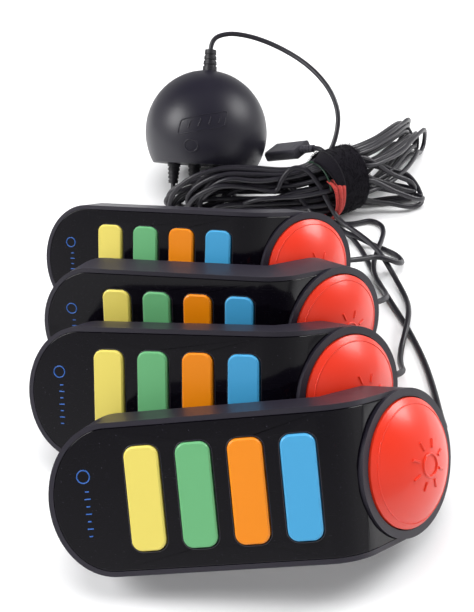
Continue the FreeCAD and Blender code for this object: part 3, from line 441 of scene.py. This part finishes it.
# ---- cords -----------------------------------------------------------------------------
# Stretches between a buzzer's relief and the bundle, in millimetres, nearest buzzer first.
CORD_ROUTES = (
    ((116.5, -99, 3.6), (117.5, -77, 2), (116.5, -53, 2), (112, -26, 2), (105, 2, 2), (98.5, 29, 2),
     (94.8, 54, 2), (88.5, 73, 2.6), (78, 83, 4.5), (67, 88, 7), (60, 97, 10)),
    ((100.5, -60, 6), (104, -45, 3.6), (109, -31, 6.4), (113.5, -16, 6.4), (116, 2, 2.4), (112, 22, 3.4),
     (104.5, 41, 9.9), (97, 56, 10.9), (88, 70, 10.5), (79, 79, 12.5), (72, 88, 21), (65, 97, 32),
     (56, 101.5, 41), (46, 101.5, 42), (39, 99, 34), (36, 97, 23)),
    ((101, -2, 11), (98.5, 14, 6.5), (97.3, 32, 6), (103.5, 51, 6.4), (108.5, 64, 6.6), (112, 77, 3.6),
     (112.5, 88, 2.2), (105, 94.5, 2.2), (96, 90.5, 2.2), (86, 88.2, 2.4), (75, 91, 3), (62, 101, 6)),
    ((97.5, 33, 14), (106.5, 32.5, 12.6), (114.5, 33, 8.4), (120, 41, 3), (117.5, 51, 2.2), (109, 58.5, 2),
     (100.5, 63.2, 3), (91, 67.5, 6.3), (81.5, 72.5, 7), (72, 79, 8), (63, 85, 11), (55, 97, 16)),
)
OUTLET_ROUTE = ((0.5, -14, 0), (5.5, -23, 1.5), (13, -32, 5))
LEAD_ROUTE = ((0, 192.5, 103.5), (14, 191, 102.5), (28.5, 187, 99.5), (42.5, 180, 95.5), (56, 169.5, 91),
              (67.5, 157, 85), (76, 145.5, 77), (80.5, 135.5, 66.5), (79.5, 127.5, 55), (75, 121, 43))
# Straight stretches where a cord leaves a piece.
EXIT_RUN = 14.0
OUTLET_EXIT_RUN = 5.6
LEAD_EXIT_RUN = 8.0
LEAD_NECK_RUN = 6.5
# Where the lead goes in under the strap and comes out of it.
LEAD_INTO_HANK = (66, 116, 38)
LEAD_PLUG_END = (72, 117, 42)

# Middle line of the hank's two lobes out from the strap: (x, y, half width, height).
LEFT_STATIONS = ((54, 106, 17, 39), (40, 106, 16, 36), (20, 103, 15, 38), (-4, 101, 16, 41),
                 (-24, 99, 15, 37))
RIGHT_STATIONS = ((106, 131, 20, 46), (118, 147, 22, 44), (130, 168, 22, 40), (142, 190, 21, 34))
# One strand that arches alone along the right lobe's far side.
LONE_STRAND = ((91, 130, 47), (97, 152, 46), (105, 177, 35), (115, 197, 25), (128, 210, 17))
# Loops of the right lobe that stay low and wide in front of it.
LOW_STATIONS = ((107, 121, 17, 40), (119, 125, 22, 30), (131, 127, 24, 20))
# The way each kind of loop ends, and how far its turn reaches and sinks.
LOBE_REACH = {"left": (-1, 0.02), "right": (0.42, 0.91), "low": (0.97, 0.26)}
LOBE_END = {"left": (27, 14), "right": (34, 10), "low": (16, 3)}
LEAST_HEIGHT = 2.1
WANDER = {"left": 3.2, "right": 2.6, "low": 2.4}      # how far a strand strays from its place
# A loop's turn: shares of its half width and of its reach.
TURN_SHAPE = ((-1, 0.4), (-0.9, 0.75), (-0.35, 1.0), (0.35, 1.0), (0.9, 0.75), (1, 0.4))
SLOT_ROWS = ((-0.9, 0.3), (-0.6, 0.68), (-0.27, 0.88))      # height and half span, from -1 to 1
SLOT_STRAY = (0.05, 0.06)                                   # across, height


def bundle_point(across, height, along=0.0):
    """Point in the bundle under the strap; across and height run from -1 to 1."""
    turn = math.radians(STRAP_TURN)
    half_width, half_height = (half - CORD_LOW - BUNDLE_GAP for half in BUNDLE_HALF)
    x = STRAP_CENTRE[0] + along * math.cos(turn) - across * half_width * math.sin(turn)
    y = STRAP_CENTRE[1] + along * math.sin(turn) + across * half_width * math.cos(turn)
    return (x, y, STRAP_CENTRE[2] + height * half_height)


def strand_slots(rng):
    """Places of the passes through the strap: a list of low ones and a list of high ones, both shuffled."""
    low = []
    across_stray, height_stray = SLOT_STRAY
    for height, span in SLOT_ROWS:
        low += [(span * (column / 2 - 1) + rng.uniform(-across_stray, across_stray),
                 height + rng.uniform(-height_stray, height_stray))
                for column in range(5)]
    high = [(-across, -height) for across, height in low]
    rng.shuffle(low)
    rng.shuffle(high)
    return low, high


def leg(stations, slot, side, rng, reach=1.0):
    """One strand out from the strap along a lobe's stations, straying a little from its place."""
    points = []
    drift, lift = rng.uniform(-1, 1), rng.uniform(-1, 1)
    count = max(2, round(len(stations) * reach))
    for index, (x, y, half, height) in enumerate(stations[:count]):
        before = stations[max(index - 1, 0)]
        after = stations[min(index + 1, len(stations) - 1)]
        way = Vector((after[0] - before[0], after[1] - before[1])).normalized()
        left = Vector((-way.y, way.x)) * (-1 if side == "left" else 1)
        stray = WANDER[side] * min(index, 2) / 2
        across = slot[0] * half + stray * (drift + rng.uniform(-0.6, 0.6))
        up = (slot[1] * 0.5 + 0.5) * (height - 2 * LEAST_HEIGHT) + LEAST_HEIGHT
        up += stray * 0.6 * (lift + rng.uniform(-0.5, 0.5))
        points.append((x + left.x * across, y + left.y * across, max(up, LEAST_HEIGHT)))
    return points


def lobe_end(out, back, side, reach):
    """The round turn at a lobe's far end between two legs, sinking towards the table."""
    way = Vector((*LOBE_REACH[side], 0)).normalized()
    far, sag = LOBE_END[side]
    first, last = Vector(out[-1]), Vector(back[0])
    gap = last - first
    gap -= way * gap.dot(way)
    width = max(gap.length, TURN_WIDTH) / 2
    centre = (first + last) / 2
    points = []
    for side_share, out_share in TURN_SHAPE:
        spot = centre + gap.normalized() * width * side_share + way * far * reach * out_share
        spot.z = max(LEAST_HEIGHT, spot.z - sag * out_share)
        points.append(tuple(spot))
    return points


def loop(side, out_slot, back_slot, rng, number=0):
    """A whole loop of one lobe, strap to strap; a right-hand one below zero comes back as the lone strand."""
    if side == "right" and number % LOW_EVERY == LOW_EVERY - 1:
        side = "low"
    stations = {"left": LEFT_STATIONS, "right": RIGHT_STATIONS, "low": LOW_STATIONS}[side]
    reach = {"left": rng.uniform(0.65, 1.0), "right": rng.uniform(0.9, 1.0), "low": 1.0}[side]
    out = leg(stations, out_slot, side, rng, reach)
    back = leg(stations, back_slot, side, rng, reach)[::-1]
    if side == "right" and number < 0:
        back = list(LONE_STRAND)[::-1]
    return out + lobe_end(out, back, side, rng.uniform(0.55, 1.0)) + back


def passage(slot, towards_right):
    """Two points under the strap, in the order the cord meets them."""
    out = STRAP_HALF_WIDTH + PASSAGE_OVERHANG
    ends = [bundle_point(*slot, -out), bundle_point(*slot, out)]
    return ends if towards_right else ends[::-1]


def hank_turns(near, far, rng, first=0):
    """Left loop, pass, right loop, pass, over and over; ends after a pass to the left."""
    points = []
    entry = far[0]
    for number, (out_slot, back_slot) in enumerate(zip(near, far), first):
        points += loop("left", entry, out_slot, rng)
        points += passage(out_slot, True)
        points += loop("right", out_slot, back_slot, rng, number)
        points += passage(back_slot, False)
        entry = back_slot
    return drop_close(points, HANK_RUN)


def drop_close(points, least_mm):
    """Leave out points that crowd the one before."""
    kept = [points[0]]
    for point in points[1:-1]:
        if (Vector(point) - Vector(kept[-1])).length >= least_mm:
            kept.append(point)
    return kept + [points[-1]]


def past(points, x):
    """Leave out what comes before the first point left of x, so that a cord doesn't double back."""
    start = next(index for index, point in enumerate(points) if point[0] < x)
    return points[start:]


def gland_tip(number):
    """Tip of a buzzer's relief and the way it points, in millimetres."""
    head = head_frame(number)
    along, up = head.col[0].to_3d(), head.col[2].to_3d()
    split = head.translation / MM - up * (DOME_TOP + SPLIT_DEPTH)
    return split + along * (CASE_HALF_WIDTH + GLAND_LENGTH), along


def hub_frame():
    """Frame of the hub with its origin at the ball's middle and z towards its top, in millimetres."""
    spin = Matrix.Rotation(math.radians(HUB_ROLL), 4, "Y") @ Matrix.Rotation(math.radians(-HUB_TILT), 4, "X")
    return Matrix.Translation(Vector(HUB_CENTRE)) @ spin


def outlet_points(number):
    """Hub end of a buzzer's cord, from the bundle to its outlet."""
    hub = hub_frame()
    end = hub @ Vector(((2.5 - number) * OUTLET_PITCH, 0, -OUTLET_DEPTH))
    down = (hub.to_3x3() @ Vector((0, 0, -1))).normalized()
    low = CORD_LOW + OUTLET_LIFT
    run = min(OUTLET_EXIT_RUN, (end.z - low) / -down.z)
    points = [tuple(end), tuple(end + down * run)]
    points += [(end.x + x, end.y + y, low + z) for x, y, z in OUTLET_ROUTE]
    return points[::-1]


def plug_frame():
    """Frame of the plug: origin at its neck's end, x towards its metal end, in millimetres."""
    turns = ((PLUG_TURN, "Z"), (PLUG_DROOP, "Y"), (PLUG_ROLL, "X"))
    matrix = Matrix.Translation(Vector(PLUG_NECK_END))
    for degrees, axis in turns:
        matrix = matrix @ Matrix.Rotation(math.radians(degrees), 4, axis)
    return matrix


def cord_object(name, points_mm):
    data = curve_data(name, sizes().cord_diameter / 2)
    nurbs(data, [mm(*point) for point in drop_close(points_mm, LEAST_RUN)])
    return add_piece(name, data, "black PVC cord jacket")


def build_cords():
    """Four buzzer cords and the lead, each one spline from relief to hub or plug, through the hank."""
    rng = random.Random(STRAND_SEED)
    near, far = strand_slots(rng)
    turns = sizes().cord_turns
    for number in BUZZERS:
        tip, way = gland_tip(number)
        mine = slice((number - 1) * turns, number * turns)
        points = [tuple(tip), tuple(tip + way * EXIT_RUN)] + list(CORD_ROUTES[number - 1])
        points += past(hank_turns(near[mine], far[mine], rng), points[-1][0] - JOIN_GAP)
        end = outlet_points(number)
        home = leg(LEFT_STATIONS, far[mine][-1], "left", rng)
        points += [point for point in home if point[0] > end[0][0] + JOIN_GAP] + end
        made = cord_object(f"cord_{number}", points)
        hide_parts(f"buzzer_cord_{number}")
    build_lead(near[4 * turns:], far[4 * turns:], rng)


def build_lead(near, far, rng):
    """The computer lead: an arch from the hub's top, its turns in the hank, and the plug's end."""
    hub = hub_frame()
    end = hub @ Vector((0, 0, HUB_RADIUS + LEAD_GLAND_LENGTH))
    up = (hub.to_3x3() @ Vector((0, 0, 1))).normalized()
    points = [tuple(end), tuple(end + up * LEAD_EXIT_RUN)] + list(LEAD_ROUTE) + [LEAD_INTO_HANK]
    points += hank_turns(near, far, rng, first=-1)[:-1]
    back = (plug_frame().to_3x3() @ Vector((-1, 0, 0))).normalized()
    neck = Vector(PLUG_NECK_END)
    points += [LEAD_PLUG_END, tuple(neck + back * LEAD_NECK_RUN), tuple(neck)]
    made = cord_object("cord_lead", points)
    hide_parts("usb_lead", "cord_hank")


# ---- what shows on the buzzers -----------------------------------------------------------
def soften_edges(obj, width_mm):
    """Welds the split mesh, rounds its sharp edges a little and shades it smooth."""
    for polygon in obj.data.polygons:
        polygon.use_smooth = True
    weld = obj.modifiers.new("weld", "WELD")
    weld.merge_threshold = 0.001 * MM
    edge = obj.modifiers.new("round", "BEVEL")
    edge.width = width_mm * MM
    edge.segments = 2
    edge.limit_method = "ANGLE"
    edge.angle_limit = math.radians(32)
    edge.harden_normals = False
    normals = obj.modifiers.new("normals", "WEIGHTED_NORMAL")
    normals.keep_sharp = True


SHARP_NODES = ("keypad_mat", "circuit_board", "case_screws", "hub_board", "hub_screws", "plug_shell")


def dress_nodes():
    """Every shown CAD node gets its slot's finish; most get softened edges."""
    made = make_finishes()
    slots = {row["node"]: row["material_slot"] for row in frame["record"]["subparts"]}
    for name, obj in frame["nodes"].items():
        obj.data.materials.clear()
        obj.data.materials.append(made[slots[name]])
        if obj.data.has_custom_normals:
            with bpy.context.temp_override(object=obj, active_object=obj, selected_objects=[obj]):
                bpy.ops.mesh.customdata_custom_splitnormals_clear()
        if not name.startswith(SHARP_NODES):
            soften_edges(obj, sizes().edge_round)


def on_dome(radius):
    """Depth below a dome's top at a distance from its axis."""
    ball = (DOME_RADIUS ** 2 + DOME_RISE ** 2) / (2 * DOME_RISE)
    return ball - math.sqrt(ball ** 2 - radius ** 2)


def dome_details(number):
    """The line near the rim and a generic sun-like mark in low relief, riding on the dome."""
    head = head_frame(number)
    body = f"dome_button_{number}"
    radius = DOME_RADIUS - RIM_LINE_INSET
    line = curve_data(f"rim_line_{number}", RIM_LINE_HALF)
    drop = on_dome(radius) - RIM_LINE_HALF * 0.3
    nurbs(line, [head @ mm(x, y, -drop) for x, y in circle(radius, 15)], closed=True)
    add_piece(f"rim_line_{number}", line, "glossy red ABS", body)
    mark = curve_data(f"dome_mark_{number}", DOME_MARK_HALF)
    for ray in range(DOME_MARK_RAYS):
        turn = math.radians(360 / DOME_MARK_RAYS * (ray + 0.5))
        points = [(r * math.cos(turn), r * math.sin(turn), DOME_MARK_LIFT - on_dome(r))
                  for r in DOME_MARK_RAY]
        nurbs(mark, [head @ mm(*point) for point in points])
    height = DOME_MARK_LIFT - on_dome(DOME_MARK_RING)
    nurbs(mark, [head @ mm(x, y, height) for x, y in circle(DOME_MARK_RING, 20)], closed=True)
    add_piece(f"dome_mark_{number}", mark, "glossy red ABS", body)


def tail_print(number):
    """Small generic printed mark near the tail: a ring and a row of short dashes, in blue ink."""
    handle = face_frame(number)
    data = curve_data(f"tail_print_{number}", PRINT_LINE_HALF, bevel_resolution=1)
    ring = circle(PRINT_RING, 20, PRINT_RING_AT)
    nurbs(data, [handle @ mm(x, y, PRINT_LIFT) for x, y in ring], closed=True)
    for index in range(PRINT_DASHES):
        x, y = PRINT_DASH_AT[0], PRINT_DASH_AT[1] - PRINT_DASH_PITCH * index
        half = PRINT_DASH_HALVES[index % 2]
        nurbs(data, [handle @ mm(x + t * half, y, PRINT_LIFT) for t in (-1, 0, 1)])
    return add_piece(f"tail_print_{number}", data, "printed blue ink")


def well_rims(number):
    """Fine moulded edge round each answer button's opening."""
    handle = face_frame(number)
    data = curve_data(f"well_rims_{number}", WELL_LINE_HALF, bevel_resolution=1)
    half_width, half_length = BUTTON_WIDTH / 2 + WELL_GAP, BUTTON_LENGTH / 2 + WELL_GAP
    for index in range(len(COLOURS)):
        rim = rounded_line(index * BUTTON_PITCH, half_width, half_length, WELL_CORNER)
        nurbs(data, [handle @ mm(x, y, -WELL_LINE_DROP) for x, y in rim], closed=True)
    return add_piece(f"well_rims_{number}", data, "satin black ABS")


def rounded_line(centre, half_width, half_length, corner):
    """Points round a rounded rectangle."""
    points = []
    for quarter, (sx, sy) in enumerate(((1, 1), (-1, 1), (-1, -1), (1, -1))):
        for step in range(5):
            turn = math.radians(90 * quarter + 22.5 * step)
            points.append((centre + sx * (half_width - corner) + corner * math.cos(turn),
                           sy * (half_length - corner) + corner * math.sin(turn)))
    return points


# ---- what shows on the hub ----------------------------------------------------------------
def on_ball(hub, azimuth, elevation, radius):
    """Point on the hub's ball; azimuth from its front, elevation above its equator, in metres."""
    a, e = math.radians(azimuth), math.radians(elevation)
    return hub @ Vector((radius * math.sin(a) * math.cos(e), -radius * math.cos(a) * math.cos(e),
                         radius * math.sin(e))) * MM


def hub_mark():
    """Generic raised mark on the ball's front: a slanted frame with four bars over a small ring."""
    hub = hub_frame()
    data = curve_data("hub_mark", sizes().mark_width)
    outline = []
    for first, last in zip(MARK_CORNERS, MARK_CORNERS[1:] + MARK_CORNERS[:1]):
        outline += [(first[0] + (last[0] - first[0]) * t / 4, first[1] + (last[1] - first[1]) * t / 4)
                    for t in range(4)]
    nurbs(data, [on_ball(hub, *spot, HUB_RADIUS) for spot in outline], closed=True)
    for shift in MARK_BARS:
        low = -4 + (shift - MARK_CORNERS[0][0]) * MARK_SLANT
        bar = [(shift + 1, low + 2), (shift + 2, low + 5), (shift + 3, low + 8.5)]
        nurbs(data, [on_ball(hub, *spot, HUB_RADIUS) for spot in bar])
    ring = circle(MARK_RING, 30, MARK_RING_AT)
    nurbs(data, [on_ball(hub, *spot, HUB_RADIUS) for spot in ring], closed=True)
    return add_piece("hub_mark", data, "satin charcoal ABS")


# ---- strap and ties -----------------------------------------------------------------------
def band_point(angle, along, grow):
    """Point round the bundle's oval, in metres."""
    turn = math.radians(STRAP_TURN)
    across = (BUNDLE_HALF[0] + grow) * math.cos(angle)
    up = (BUNDLE_HALF[1] + grow) * math.sin(angle)
    return mm(STRAP_CENTRE[0] + along * math.cos(turn) - across * math.sin(turn),
              STRAP_CENTRE[1] + along * math.sin(turn) + across * math.cos(turn), STRAP_CENTRE[2] + up)


def strap_pile():
    """Short loops standing off the strap and longer frayed threads at its edges."""
    rng = random.Random(STRAND_SEED)
    data = curve_data("strap_pile", PILE_THREAD_HALF, resolution=3, bevel_resolution=0)
    for _ in range(PILE_LOOPS):
        angle = rng.uniform(0, 2 * math.pi)
        along = rng.uniform(-STRAP_HALF_WIDTH, STRAP_HALF_WIDTH)
        lean, reach = rng.uniform(-0.07, 0.07), rng.uniform(0.6, 1.5)
        if band_point(angle, along, 3).z < 3 * MM:
            continue
        crest = band_point(angle + lean, along + rng.uniform(-PILE_SPREAD, PILE_SPREAD), 1.6 + reach)
        end = band_point(angle + 2 * lean, along + rng.uniform(-PILE_SPREAD, PILE_SPREAD), 1.5)
        nurbs(data, [band_point(angle, along, 1.4), crest, end])
    for _ in range(PILE_LOOPS // 4):
        angle = rng.uniform(0, math.pi)
        edge = rng.choice((-1, 1)) * STRAP_HALF_WIDTH
        tip = band_point(angle + rng.uniform(-0.05, 0.05), edge * rng.uniform(1.05, 1.2),
                         1.5 + rng.uniform(-0.8, 1.6))
        nurbs(data, [band_point(angle, edge, 1.2), band_point(angle, edge * 1.06, 1.5), tip])
    return add_piece("strap_pile", data, "black loop tape")


def strap_flap():
    """The strap's slanted free end, lying over the strands to its left and ending in a point."""
    corners = []
    for step in range(FLAP_STEPS_ROUND + 1):
        angle = math.radians(FLAP_FROM + (FLAP_TO - FLAP_FROM) * step / FLAP_STEPS_ROUND)
        rise = min(1.0, step / FLAP_STEPS_ROOT)
        past_root = max(0, step - FLAP_STEPS_ROOT) / (FLAP_STEPS_ROUND - FLAP_STEPS_ROOT)
        share = rise * (1 - past_root) ** 1.3
        width = FLAP_TIP_WIDTH + FLAP_REACH * share
        for row in range(FLAP_STEPS_ACROSS + 1):
            out = row / FLAP_STEPS_ACROSS
            corners.append(band_point(angle, -STRAP_HALF_WIDTH + 0.8 - width * out, 2.2 - 1.2 * out * share))
    faces = grid_faces(0, FLAP_STEPS_ROUND, FLAP_STEPS_ACROSS)
    return sheet("strap_flap", corners, faces, FLAP_THICKNESS, "black loop tape")


def red_wraps():
    """Three turns of woven tape round the near strands, diving between them above and under the bundle."""
    corners, faces = [], []
    for along, tilt, lift in TAPE_TURNS:
        faces += grid_faces(len(corners), TAPE_STEPS, 2)
        for step in range(TAPE_STEPS + 1):
            share = step / TAPE_STEPS
            angle = math.radians(TAPE_FROM + TAPE_SWEEP * share)
            bow = TAPE_BOW * math.sin(math.pi * share)
            dive = -TAPE_DIVE * (max(0, 0.12 - share) + max(0, share - 0.9)) / 0.12
            middle_line = along + tilt * (share - 0.5) * 2
            for edge in (-TAPE_HALF_WIDTH, 0.0, TAPE_HALF_WIDTH):
                crown = TAPE_CROWN if edge == 0 else 0
                corners.append(band_point(angle, middle_line + edge, lift + bow + dive + crown))
    made = sheet("tie_wraps", corners, faces, TAPE_THICKNESS, "woven red tape")
    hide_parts("hank_tie")
    return made


def twist_tie():
    """Small dark green twist tie over the strands left of the strap."""
    data = curve_data("twist_tie", TWIST_TIE_HALF)
    points = [band_point(math.radians(a), -STRAP_HALF_WIDTH - TWIST_TIE_OFFSET,
                         -TWIST_TIE_SINK + TWIST_TIE_WAVE * math.sin(math.radians(3 * a)))
              for a in range(20, 161, 14)]
    nurbs(data, points)
    return add_piece("twist_tie", data, "dark green twist tie")


def plug_grooves():
    """Moulded lines round the overmould and the cap."""
    place = plug_frame()
    data = curve_data("plug_lines", PLUG_LINE_HALF)
    wide, high = PLUG_HALF_WIDTH, PLUG_HALF_HEIGHT
    corner_x, corner_y = PLUG_FLAT_WIDTH, PLUG_FLAT_HEIGHT
    half = [(wide, 0), (wide, -corner_y), (corner_x, -high),
            (0, -high), (-corner_x, -high), (-wide, -corner_y)]
    outline = half + [(-across, -up) for across, up in half]
    for x in PLUG_LINES_AT:
        nurbs(data, [mm(*(place @ Vector((x, *spot)))) for spot in outline], closed=True)
    return add_piece("plug_lines", data, "moulded charcoal PVC")


# ---- camera, floor and light ----------------------------------------------------------------
def add_camera():
    data = bpy.data.cameras.new("camera")
    data.sensor_fit = "AUTO"
    data.sensor_width = 36.0
    data.lens = CAMERA_LENS
    data.clip_start, data.clip_end = 0.01, 50
    made = link_object("camera", data)
    made.location = mm(*CAMERA_PLACE)
    made.rotation_euler = (math.radians(CAMERA_PITCH), 0, 0)
    bpy.context.scene.camera = made


def combined(tree, operation, first, second):
    """Two values joined by a maths node."""
    node = tree.nodes.new("ShaderNodeMath")
    node.operation = operation
    tree.links.new(first, node.inputs[0])
    tree.links.new(second, node.inputs[1])
    return node.outputs["Value"]


def paper_sweep():
    """White paper with a painted glow, seen by the camera only: none near the set, growing with distance until the
    paper shows plain white.
    """
    made, tree, shader, place = new_material("white paper sweep")
    distance = tree.nodes.new("ShaderNodeVectorMath")
    distance.operation = "LENGTH"
    tree.links.new(place.outputs["Object"], distance.inputs[0])
    # painted glow: the paper emits white light to camera rays, rising from none at 0.35 m to 0.9 at 1.3 m from the
    # middle
    glow = ramp(tree, distance.outputs["Value"], 0.35, 1.3, 0.0, 0.9)
    seen = tree.nodes.new("ShaderNodeLightPath")
    shown = combined(tree, "MULTIPLY", glow, seen.outputs["Is Camera Ray"])
    tree.links.new(shown, shader.inputs["Emission Strength"])
    shader.inputs["Emission Color"].default_value = (1.0, 1.0, 1.0, 1.0)
    shader.inputs["Base Color"].default_value = linear("#FAFAFB")
    shader.inputs["Roughness"].default_value = 0.6
    shader.inputs["Specular IOR Level"].default_value = 0.2
    return made


def add_floor():
    data = bpy.data.meshes.new("floor")
    corners = [(x * FLOOR_HALF, y * FLOOR_HALF, 0) for x, y in ((-1, -1), (1, -1), (1, 1), (-1, 1))]
    data.from_pydata(corners, [], [(0, 1, 2, 3)])
    data.materials.append(paper_sweep())
    link_object("floor", data)


def add_light(name, place, target, size, watts, shows):
    data = bpy.data.lights.new(name, "AREA")
    data.shape = "RECTANGLE"
    data.size, data.size_y = size
    data.energy = watts
    made = link_object(name, data)
    made.location = place
    made.rotation_euler = (Vector(target) - Vector(place)).to_track_quat("-Z", "Y").to_euler()
    made.visible_glossy = shows


def add_sky():
    """White behind the set; to everything but the camera it darkens towards the ceiling."""
    world = bpy.data.worlds.new("studio")
    world.use_nodes = True
    tree = world.node_tree
    sky = tree.nodes["Background"]
    place = tree.nodes.new("ShaderNodeTexCoord")
    split = tree.nodes.new("ShaderNodeSeparateXYZ")
    tree.links.new(place.outputs["Generated"], split.inputs["Vector"])
    seen = tree.nodes.new("ShaderNodeLightPath")
    fade = ramp(tree, split.outputs["Z"], 0.15, 0.7, 0.6, 0.06)
    tree.links.new(combined(tree, "MAXIMUM", fade, seen.outputs["Is Camera Ray"]), sky.inputs["Strength"])
    sky.inputs["Color"].default_value = (1.0, 1.0, 1.0, 1.0)
    bpy.context.scene.world = world


def add_lights():
    """Two side softboxes that show as highlights, two larger ones that only light, and the sky."""
    for light in LIGHTS:
        add_light(*light)
    add_sky()
    bpy.context.scene.view_settings.view_transform = "Standard"


# ---- operators and panel ---------------------------------------------------------------------
class QUIZSET_OT_camera(bpy.types.Operator):
    """Places the camera"""
    bl_idname = "quizset.camera"
    bl_label = "Camera"

    def execute(self, context):
        add_camera()
        return {"FINISHED"}


class QUIZSET_OT_finishes(bpy.types.Operator):
    """Gives every CAD node its finish and soft edges"""
    bl_idname = "quizset.finishes"
    bl_label = "Finishes"

    def execute(self, context):
        dress_nodes()
        return {"FINISHED"}


class QUIZSET_OT_cords(bpy.types.Operator):
    """Lays the four buzzer cords and the computer lead"""
    bl_idname = "quizset.cords"
    bl_label = "Cords and hank"

    def execute(self, context):
        build_cords()
        return {"FINISHED"}


class QUIZSET_OT_buzzer_details(bpy.types.Operator):
    """Adds the dome lines, dome marks, tail prints and button rims"""
    bl_idname = "quizset.buzzer_details"
    bl_label = "Buzzer details"

    def execute(self, context):
        for number in BUZZERS:
            dome_details(number)
            tail_print(number)
            well_rims(number)
        return {"FINISHED"}


class QUIZSET_OT_hub_details(bpy.types.Operator):
    """Adds the hub's mark"""
    bl_idname = "quizset.hub_details"
    bl_label = "Hub details"

    def execute(self, context):
        hub_mark()
        return {"FINISHED"}


class QUIZSET_OT_ties(bpy.types.Operator):
    """Adds the strap's pile and free end, the red tape and the twist tie"""
    bl_idname = "quizset.ties"
    bl_label = "Strap and ties"

    def execute(self, context):
        strap_pile()
        strap_flap()
        red_wraps()
        twist_tie()
        return {"FINISHED"}


class QUIZSET_OT_plug_details(bpy.types.Operator):
    """Adds the plug's moulded lines"""
    bl_idname = "quizset.plug_details"
    bl_label = "Plug details"

    def execute(self, context):
        plug_grooves()
        return {"FINISHED"}


class QUIZSET_OT_stage(bpy.types.Operator):
    """Lays the floor and sets the lights"""
    bl_idname = "quizset.stage"
    bl_label = "Floor and light"

    def execute(self, context):
        add_floor()
        add_lights()
        return {"FINISHED"}


STEPS = (QUIZSET_OT_camera, QUIZSET_OT_finishes, QUIZSET_OT_ties, QUIZSET_OT_plug_details, QUIZSET_OT_cords,
         QUIZSET_OT_buzzer_details, QUIZSET_OT_hub_details, QUIZSET_OT_stage)


class QUIZSET_PT_panel(bpy.types.Panel):
    """The dressing steps, in order"""
    bl_idname = "QUIZSET_PT_panel"
    bl_label = "Quiz Buzzer Set"
    bl_space_type = "VIEW_3D"
    bl_region_type = "UI"
    bl_category = "Quiz Buzzer Set"

    def draw(self, context):
        for step in STEPS:
            self.layout.operator(step.bl_idname)
        for name in BuzzerSetSizes.__annotations__:
            self.layout.prop(context.scene.buzzer_set_sizes, name)
        for name in BuzzerSetColours.__annotations__:
            self.layout.prop(context.scene.buzzer_set_colours, name)


CLASSES = (BuzzerSetSizes, BuzzerSetColours) + STEPS + (QUIZSET_PT_panel,)


def register():
    for cls in CLASSES:
        bpy.utils.register_class(cls)
    bpy.types.Scene.buzzer_set_sizes = bpy.props.PointerProperty(type=BuzzerSetSizes)
    bpy.types.Scene.buzzer_set_colours = bpy.props.PointerProperty(type=BuzzerSetColours)


def unregister():
    del bpy.types.Scene.buzzer_set_colours
    del bpy.types.Scene.buzzer_set_sizes
    for cls in reversed(CLASSES):
        bpy.utils.unregister_class(cls)


def main():
    register()
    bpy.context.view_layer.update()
    bpy.ops.quizset.camera()
    bpy.ops.quizset.finishes()
    bpy.ops.quizset.ties()
    bpy.ops.quizset.plug_details()
    bpy.ops.quizset.cords()
    bpy.ops.quizset.buzzer_details()
    bpy.ops.quizset.hub_details()
    bpy.ops.quizset.stage()


if __name__ == "__main__":
    main()
